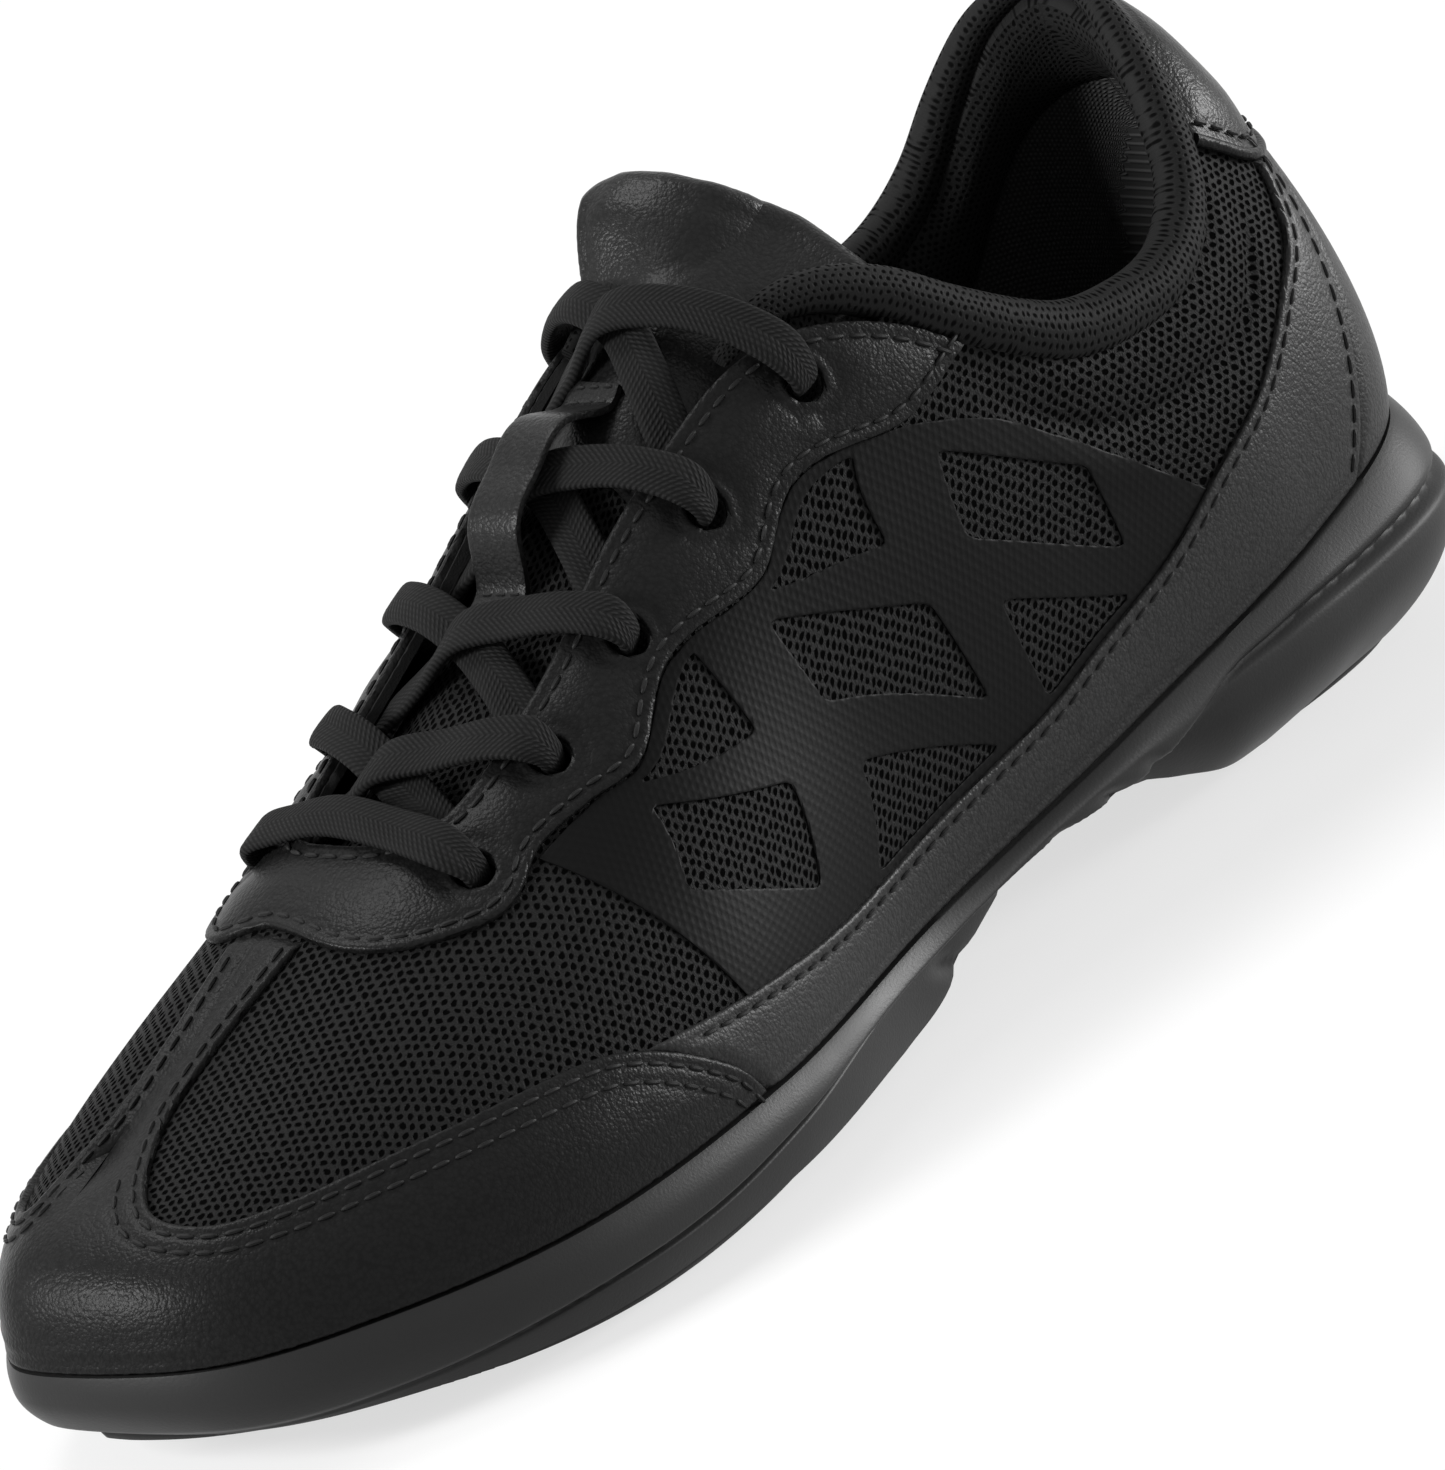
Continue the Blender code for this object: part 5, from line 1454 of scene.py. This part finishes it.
# How far the free top moves at a share across the foot, in millimetres: (share, (x, y, z)).
TIP_LIFT = [
    (-0.5, (6.1, -1.5, 12.3)), (-0.42, (5.5, -1.5, 6.4)), (-0.3, (5.2, -1.5, -0.5)),
    (-0.18, (4.6, -1.5, -4.2)), (-0.06, (2.3, -1.5, -4.4)), (0.06, (0.0, -1.2, -1.3)),
    (0.18, (-1.0, -0.2, 3.3)), (0.3, (-1.0, 0.1, 11.0)), (0.42, (-1.0, 1.0, 20.9)), (0.5, (-1.0, 2.5, 27.5)),
]
FLARE_SPAN = (84.0, 74.5)
FREE_SPAN = (93.0, 86.0)
TIP_SPREAD = (-0.06, -0.03, 0.0, 0.03, 0.06)


def tongue_lift(angle, share):
    """How far the free top stands from the last's skin: it lies flatter than the instep."""
    knots, moves = zip(*TIP_LIFT)
    return smooth_columns(knots, moves, share) * rise_between(angle, *FLARE_SPAN)[..., None]


def tongue_surface(places, depth):
    """Points of the tongue at a depth, measured along the flattened tongue's own normals."""
    middle = TONGUE_DEPTH + TONGUE_BODY / 2
    angle = folded(places[..., 0])
    share = (1 - places[..., 1]) * np.where(places[..., 0] % 360.0 <= 180.0, -1.0, 1.0)

    def at(a, s):
        spread = [skin(across_foot(a, s + move), np.full(np.shape(a), middle)) for move in TIP_SPREAD]
        return np.mean(spread, 0) + tongue_lift(a, s)

    da = at(angle + 0.5, share) - at(angle - 0.5, share)
    ds = at(angle, share + 0.012) - at(angle, share - 0.012)
    normal = unit(np.cross(da, ds))
    outward = skin_frame(places[..., 0], places[..., 1])[2]
    normal = normal * np.sign((normal * outward).sum(-1, keepdims=True))
    free = rise_between(angle, *FREE_SPAN)[..., None]
    normal = unit(outward * (1 - free) + normal * free)
    flared = at(angle, share) + normal * (middle - np.asarray(depth, float))[..., None]
    return skin(places, depth) * (1 - free) + flared * free


def tongue_crown(places):
    """The padded tongue's rise towards its middle."""
    share = 1 - places[..., 1]
    reach = smooth(TONGUE_SHARE, np.clip(folded(places[..., 0]), TONGUE_TIP, 119))
    return -0.9 * np.clip(1 - (share / reach) ** 2, 0, 1)


def fold_ends():
    """Where the tongue starts and ends its bend, in the frame's metres."""
    ends = skin(np.array([(FOLD_START[0], 1.0), (FOLD_START[1], 1.0)]), np.full(2, TONGUE_DEPTH + 3.0))
    ends[:, 1] = 0.0
    return [tuple(put(end)) for end in ends]


def build_tongue():
    half = TONGUE_BODY / 2
    bend = fold_ends()

    def lower(places, away):
        return tongue_crown(places) + 0.45 + 0.2 * ripple(places, 17, 0.7)

    def upper(places, away):
        angle = folded(places[..., 0])
        seam = 0.28 * ridge(angle, PANEL_START - 1.2, 0.3)
        roll = 0.25 * ridge(away, 4.2, 0.9) * rise_between(angle, 79, 76)
        return tongue_crown(places) + seam + roll + 0.05 * ripple(places, 22, 1.1)

    def flat_back(places, away):
        return tongue_crown(places) * 0

    whole, rims = tongue_outline(TONGUE_LOW, TONGUE_TIP)
    outline, _ = tongue_outline(TONGUE_LOW, PANEL_START - 1.0)
    item = panel("tongue_air_mesh", "across", outline, depth=TONGUE_DEPTH, thickness=half, rims=[rims],
                 edge=half * 0.9, shape=lower, back_shape=flat_back, cloth=True, step=1.7,
                 rings=(0.3, 0.8, 1.6, 2.6), surface=tongue_surface)
    finish_piece(item, TONGUE_MESH, nodes=["tongue_mesh", "tongue_foam"])
    outline, _ = tongue_outline(PANEL_START, TONGUE_TIP)
    seam = straight([(PANEL_START, -0.34), (PANEL_START, 0.34)], 60)
    item = panel("tongue_leather_panel", "across", outline, depth=TONGUE_DEPTH, thickness=half, rims=[rims],
                 edge=half * 0.95, shape=upper, back_shape=flat_back, step=1.4,
                 rings=(0.25, 0.6, 1.2, 2.0, 3.0, 4.2, 5.2, 6.2), surface=tongue_surface)
    finish_piece(item, TONGUE_LEATHER, nodes=["tongue_panel", "flap_cover", "flap_foam"],
                 blend=bend)
    lines = [seam_line("across", seam, 1.3, TONGUE_DEPTH - 0.75, 1)]
    finish_piece(stitches("tongue_panel_thread", lines), THREAD)

    def lining_back(places, away):
        return -half * rounded(away / (half * 0.95))

    item = panel("tongue_back_lining", "across", whole, depth=TONGUE_DEPTH + half, thickness=half,
                 edge=0.01, shape=flat_back, back_shape=lining_back, cloth=True, step=1.8,
                 rings=(0.3, 0.8, 1.6, 2.6), surface=tongue_surface)
    finish_piece(item, INNER_CLOTH_PAINTED_LIGHT, nodes=["tongue_lining", "flap_lining"], blend=bend)


def build_keeper():
    """The strap on the tongue's middle that arches over one crossing of the lace."""
    travel = np.linspace(0, 1, 90)
    angle = KEEPER_SPAN[0] + (KEEPER_SPAN[1] - KEEPER_SPAN[0]) * travel
    depth = TONGUE_DEPTH - 1.15 - KEEPER_RISE * smooth(KEEPER_ARCH, travel)
    share = np.full(len(angle), 0.012)
    places = across_foot(angle, share)
    path = skin(places, depth)
    lateral = skin(across_foot(angle, share - 0.04), depth)
    medial = skin(across_foot(angle, share + 0.04), depth)
    item = sweep("lace_keeper_strap", path, medial - lateral, 8.4, 1.15, 20, 0.28)
    finish_piece(item, TONGUE_LEATHER, nodes=["lace_keeper"])
    lines = []
    for stop in KEEPER_STITCHING:
        k = int(round(stop * (len(path) - 1)))
        way = unit(medial - lateral)[k]
        outward = skin_frame(places[k, 0], places[k, 1])[2]
        row = np.array([path[k] + way * t for t in np.linspace(-3.4, 3.4, 12)]) + outward * 0.55
        lines.append((row, np.repeat(outward[None], 12, 0)))
    finish_piece(stitches("lace_keeper_thread", lines, 2.3, 1.7, 0.25), THREAD)


# ---------------------------------------------------------------- the lace piece
def build_lace():
    stops = lace_stops()
    centres, sideways = lace_frame(stops)
    widths = np.array([stop[3] for stop in stops])[:, None]
    columns = np.concatenate([sideways, widths], 1)
    path, extras = smooth_route(centres, columns, 760)

    def rounding(run, across):
        return 0.10 * np.sin(run / 5.3 + 3 * across) + 0.06 * np.sin(run / 2.1 + 5 * across)

    width = extras[:, 3] * (1.0 + 0.03 * np.sin(np.arange(len(path)) / 23.0))
    item = sweep("shoe_lace", path, extras[:, :3], width, LACE_THICKNESS + 0.15, 24, 0.62, rounding)
    finish_piece(item, LACE_BRAID, nodes=["lace"])


# ---------------------------------------------------------------- the sole
FOREFOOT_PAD = (-1.0, 0.06)
HEEL_PAD = (0.56, 1.05)
GROOVE_PITCH = 5.2
TREAD_STEP = 0.62


def build_midsole():
    samples, levels = 520, np.concatenate([np.linspace(0, 0.06, 5), np.linspace(0.08, 1.0, 64)])
    rings = [fine_ring(0.0, samples, 3.0), fine_ring(0.0, samples, 1.2)]
    rings += [fine_ring(level, samples) for level in levels]
    rings += [fine_ring(1.0, samples, 1.5), fine_ring(1.0, samples, 4.0)]
    grid = np.array(rings)
    rows = len(grid)
    faces = grid_faces(rows, samples, True)
    for start, flip in ((0, False), ((rows - 1) * samples, True)):
        for i in range(samples // 2):
            corners = [i, i + 1, (samples - i - 1) % samples, (samples - i) % samples]
            corners = [start + c for c in dict.fromkeys(corners)]
            faces.append(corners[::-1] if flip else corners)
    item = recalculated(mesh_object("midsole_rubber", put(grid.reshape(-1, 3)), faces))
    finish_piece(item, RUBBER, nodes=["midsole"])


# The visible side wall, by angle: how far its upper band and its lower lobe stand out, how far
# the lobe tucks under, and the height share and depth of the flow line between the two.
WALL_TOP = [
    (0, 3.4), (15, 3.6), (30, 3.9), (45, 3.6), (60, 2.6), (75, 1.8), (90, 1.5), (120, 1.6), (150, 1.0),
    (180, 0.5),
]
WALL_LOW = [
    (0, 4.4), (15, 4.5), (30, 4.4), (45, 3.4), (58, 1.6), (66, -1.0), (75, -2.0), (88, -1.2), (100, 0.2),
    (115, 1.0), (130, 0.8), (150, 0.2), (180, -0.6),
]
WALL_TUCK = [
    (0, 7.0), (15, 8.5), (30, 11.0), (45, 11.0), (55, 8.5), (64, 4.0), (75, 1.2), (90, 1.0), (105, 1.4),
    (125, 2.0), (150, 2.8), (180, 3.6),
]
FLOW_LINE = [
    (0, 0.40), (20, 0.34), (42, 0.24), (53, 0.19), (59.5, 0.22), (64, 0.42), (68, 0.70), (80, 0.45),
    (86, 0.30), (92, 0.28), (99, 0.32), (106, 0.44), (113, 0.55), (129, 0.62), (143, 0.80), (160, 0.93),
    (180, 0.97),
]
FLOW_DEPTH = [
    (0, 1.5), (50, 1.5), (60, 1.2), (66, 0.3), (84, 0.3), (92, 1.0), (140, 1.0), (165, 0.5), (180, 0.3),
]
# The tread's underside by station: toe spring, forefoot, arch and heel.
VISIBLE_GROUND = [
    (-1.03, 7.6), (-0.86, 3.4), (-0.70, 1.0), (-0.54, 0.1), (-0.46, 0.0), (-0.06, 0.0), (0.03, 1.1),
    (0.10, 4.8), (0.17, 7.8), (0.28, 9.0), (0.38, 7.8), (0.46, 4.2), (0.53, 0.9), (0.60, 0.0),
    (0.92, 0.0), (1.08, 3.4),
]
# How far the side wall's bottom edge lies above the tread's underside.
EDGE_LIFT = 1.5


def visible_ground(x):
    return np.maximum(smooth(VISIBLE_GROUND, np.asarray(x) / HALF_LENGTH), 0.0)


def fine_ring(level, samples, inset_by=0.0):
    """One ring of the visible side wall: upper band, flow line, and a lobe that tucks under."""
    side_angle, base, outward = feather_ring(samples)
    line = smooth(FLOW_LINE, side_angle)
    groove = smooth(FLOW_DEPTH, side_angle)
    rise = np.sin(np.clip(level / 0.36, 0, 1) * math.pi / 2) ** 0.9
    below = rise_between(level - line, -0.02, 0.10)
    bulge = smooth(WALL_TOP, side_angle) * (1 - below) + smooth(WALL_LOW, side_angle) * below
    notch = groove * ridge(level, line + 0.015, 0.038) * rise_between(level, 0.02, 0.10)
    tuck = smooth(WALL_TUCK, side_angle) * np.clip((level - 0.42) / 0.58, 0, 1) ** 1.9
    ribs = arch_ribs(side_angle, level)
    ring = base + outward * (bulge * rise - notch - tuck - ribs - inset_by)[:, None]
    top = smooth(FEATHER, ring[:, 0] / HALF_LENGTH) - SEAT_GAP
    bottom = visible_ground(ring[:, 0]) + EDGE_LIFT
    ring[:, 2] = top + (bottom - top) * level
    return ring


RIBS = (66.5, 71.0, 75.8, 81.2, 87.0)


def arch_ribs(side_angle, level):
    """Short slanting notches under the arch."""
    ribs = np.zeros(len(side_angle))
    for place in RIBS:
        ribs = ribs + 1.2 * ridge(side_angle, place - 5 * (level - 0.7), 0.9)
    return ribs * rise_between(level, 0.30, 0.70)


def pad_outline(low, high):
    """A tread pad in plan, between two places along the foot and 1 mm inside the edge."""
    edge = fine_ring(1.0, 180)
    half = len(edge) // 2
    lateral = edge[: half + 1]
    medial = closed_line(edge)[half:]
    turn = np.arange(220) * 2 * math.pi / 220
    x = (low + high) / 2 + (high - low) / 2 * np.cos(turn)
    sides = (np.interp(x, lateral[::-1, 0], lateral[::-1, 1]) + 1.0,
             np.interp(x, medial[:, 0], medial[:, 1]) - 1.0)
    middle = (sides[0] + sides[1]) / 2
    reach = np.abs(np.sin(turn)) ** 0.45
    y = middle + (np.where(np.sin(turn) > 0, *sides) - middle) * reach
    outline = np.stack([x, y], -1)
    return outline if left_about(outline) else outline[::-1]


def build_tread(name, span, seed):
    """A tread pad with curved grooves, under the midsole's bottom edge."""
    stations = fine_ring(1.0, 180)[:, 0]
    low = max(span[0] * HALF_LENGTH, stations.min() + 1.0)
    high = min(span[1] * HALF_LENGTH, stations.max() - 1.0)
    outline = pad_outline(low, high)
    centre = outline.mean(0)
    lengths = np.linalg.norm(outline - centre, axis=1, keepdims=True)
    rims = [centre + (outline - centre) * (1 - ring / lengths) for ring in (0.4, 0.9, 1.5)]
    y_low, y_high = outline[:, 1].min(), outline[:, 1].max()
    grid = np.meshgrid(np.arange(low, high, TREAD_STEP), np.arange(y_low, y_high, TREAD_STEP))
    grid = np.stack(grid, -1).reshape(-1, 2)
    grid = grid[inside(outline, grid)]
    step = np.roll(outline, -1, 0) - outline
    border = np.concatenate([outline + step * t for t in np.linspace(0, 0.9, 8)])
    grid = grid[gap_to(grid, border) > 2.0]
    edges = [(i, (i + 1) % len(outline)) for i in range(len(outline))]
    points = [Vector(p) for p in np.concatenate([outline, *rims, grid])]
    made = delaunay_2d_cdt(points, edges, [], 2, 1e-6)
    flat = np.array([tuple(p) for p in made[0]])
    triangles = np.array([tuple(face) for face in made[2] if len(set(face)) == 3])
    away = gap_to(flat, border)
    ground = visible_ground(flat[:, 0])
    pivot = np.array([low + (high - low) * seed, centre[1]])
    spread = np.linalg.norm((flat - pivot) * np.array([1.0, 1.15]), axis=1)
    wave = np.abs(((spread / GROOVE_PITCH) % 1.0) - 0.5) * 2
    grooves = 0.95 * rise_between(wave, 0.62, 0.86) * rise_between(away, 3.0, 4.5)
    bottom = np.column_stack([flat, ground + grooves + 0.8 * rounded(away / 0.8)])
    top = np.column_stack([flat, ground + EDGE_LIFT + 0.4])
    count = len(flat)
    walls = [(second, first, first + count, second + count) for first, second in open_edges(triangles)]
    faces = list(triangles[:, ::-1]) + list(triangles + count) + walls
    item = recalculated(mesh_object(name + "_tread", put(np.concatenate([bottom, top])), faces))
    finish_piece(item, TREAD, [name])


# ---------------------------------------------------------------- the frame's own pieces
def dress_nodes():
    """Materials for the CAD pieces that stay as they are."""
    finishes = {
        "insole_board": BOARD, "sockliner_foam": FOAM, "sockliner_cover": INNER_CLOTH_PLAIN,
        "toe_puff": BOARD, "heel_counter": BOARD, "aglet_lateral": PLASTIC, "aglet_medial": PLASTIC,
    }
    for name, material in finishes.items():
        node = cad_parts[name]
        node.data.materials.clear()
        node.data.materials.append(material)


# ---------------------------------------------------------------- camera, floor and light
VIEW_AZIMUTH = -42.83
VIEW_ELEVATION = 21.72
VIEW_ROLL = 18.51
VIEW_DISTANCE = 2.6745
VIEW_AIM = (-0.01058, -0.01689, 0.045)
VIEW_LENS = 533.8


def view_axes():
    """The camera's right, its up, and the way back from the shoe to the camera."""
    a, e, roll = (math.radians(x) for x in (VIEW_AZIMUTH, VIEW_ELEVATION, VIEW_ROLL))
    back = Vector((math.sin(a) * math.cos(e), -math.cos(a) * math.cos(e), math.sin(e)))
    right = Vector((math.cos(a), math.sin(a), 0.0))
    up = back.cross(right)
    x = right * math.cos(roll) - up * math.sin(roll)
    y = right * math.sin(roll) + up * math.cos(roll)
    return x, y, back


def build_camera():
    x, y, back = view_axes()
    data = bpy.data.cameras.new("camera")
    data.lens = VIEW_LENS
    data.sensor_width = 36.0
    data.clip_start = 0.05
    data.clip_end = 100.0
    camera = add_object("camera", data)
    axes = Matrix((x, y, back)).transposed().to_4x4()
    axes.translation = Vector(VIEW_AIM) + back * VIEW_DISTANCE
    camera.matrix_world = axes
    bpy.context.scene.camera = camera


def background_factor(tree):
    """1 for camera, glossy and transmission rays."""
    path = tree.nodes.new("ShaderNodeLightPath")
    factor = path.outputs["Is Camera Ray"]
    for ray in ("Is Glossy Ray", "Is Transmission Ray"):
        larger = tree.nodes.new("ShaderNodeMath")
        larger.operation = "MAXIMUM"
        tree.links.new(factor, larger.inputs[0])
        tree.links.new(path.outputs[ray], larger.inputs[1])
        factor = larger.outputs[0]
    return factor


FLOOR_REACH = 14.0
FLOOR_SHADOW_SHARE = 0.32
WORLD_LIGHT = 0.30


def build_floor():
    """A plain pale floor that the camera sees as white, with part of the shadow kept."""
    data = bpy.data.meshes.new("floor")
    corners = [(x * FLOOR_REACH, y * FLOOR_REACH, 0) for x, y in ((-1, -1), (1, -1), (1, 1), (-1, 1))]
    data.from_pydata(corners, [], [(0, 1, 2, 3)])
    floor = add_object("floor", data)
    floor.location.z = -0.0004
    n = Nodes("floor")
    n.set(Base_Color=grey(0.88), Roughness=0.9, Specular_IOR_Level=0.0)
    white = n.add("ShaderNodeEmission")
    blend = n.add("ShaderNodeMixShader")
    share = n.math("MULTIPLY", background_factor(n.tree), 1.0 - FLOOR_SHADOW_SHARE)
    n.link(share, blend.inputs[0])
    n.link(n.shader.outputs[0], blend.inputs[1])
    n.link(white.outputs[0], blend.inputs[2])
    output = next(node for node in n.tree.nodes if node.type == "OUTPUT_MATERIAL")
    n.link(blend.outputs[0], output.inputs[0])
    data.materials.append(n.material)


def build_world():
    world = bpy.data.worlds.new("studio")
    bpy.context.scene.world = world
    world.use_nodes = True
    tree = world.node_tree
    light = tree.nodes["Background"]
    light.inputs["Color"].default_value = (1.0, 1.0, 1.0, 1.0)
    light.inputs["Strength"].default_value = WORLD_LIGHT
    white = tree.nodes.new("ShaderNodeBackground")
    white.inputs["Color"].default_value = (1.0, 1.0, 1.0, 1.0)
    white.inputs["Strength"].default_value = 1.0
    blend = tree.nodes.new("ShaderNodeMixShader")
    tree.links.new(background_factor(tree), blend.inputs[0])
    tree.links.new(light.outputs[0], blend.inputs[1])
    tree.links.new(white.outputs[0], blend.inputs[2])
    output = next(node for node in tree.nodes if node.type == "OUTPUT_WORLD")
    tree.links.new(blend.outputs[0], output.inputs[0])


# Square lamps aimed at the shoe: name, place and side in metres, power in watts.
LIGHTS = [
    ("top", (0.10, 0.50, 1.40), 0.50, 8.0),
    ("rear_right", (1.40, -0.70, 0.30), 0.50, 27.0),
    ("front_left", (-1.25, 0.55, 0.80), 0.42, 26.0),
]


def build_lights():
    for name, place, size, power in LIGHTS:
        data = bpy.data.lights.new(name, "AREA")
        data.shape = "RECTANGLE"
        data.size = data.size_y = size
        data.energy = power
        lamp = add_object(name, data)
        lamp.location = place
        aim = Vector((0.0, 0.0, 0.05)) - Vector(place)
        lamp.rotation_euler = aim.to_track_quat("-Z", "Y").to_euler()


build_camera()
build_lace()
build_midsole()
build_tread("outsole_forefoot", FOREFOOT_PAD, 0.42)
build_tread("outsole_heel", HEEL_PAD, 0.5)
build_cloth()
build_collar()
build_toe_cap()
build_rands()
build_heel()
build_eyestay()
build_film()
build_tongue()
build_keeper()
dress_nodes()
build_floor()
build_world()
build_lights()

bpy.context.scene.view_settings.view_transform = "Standard"
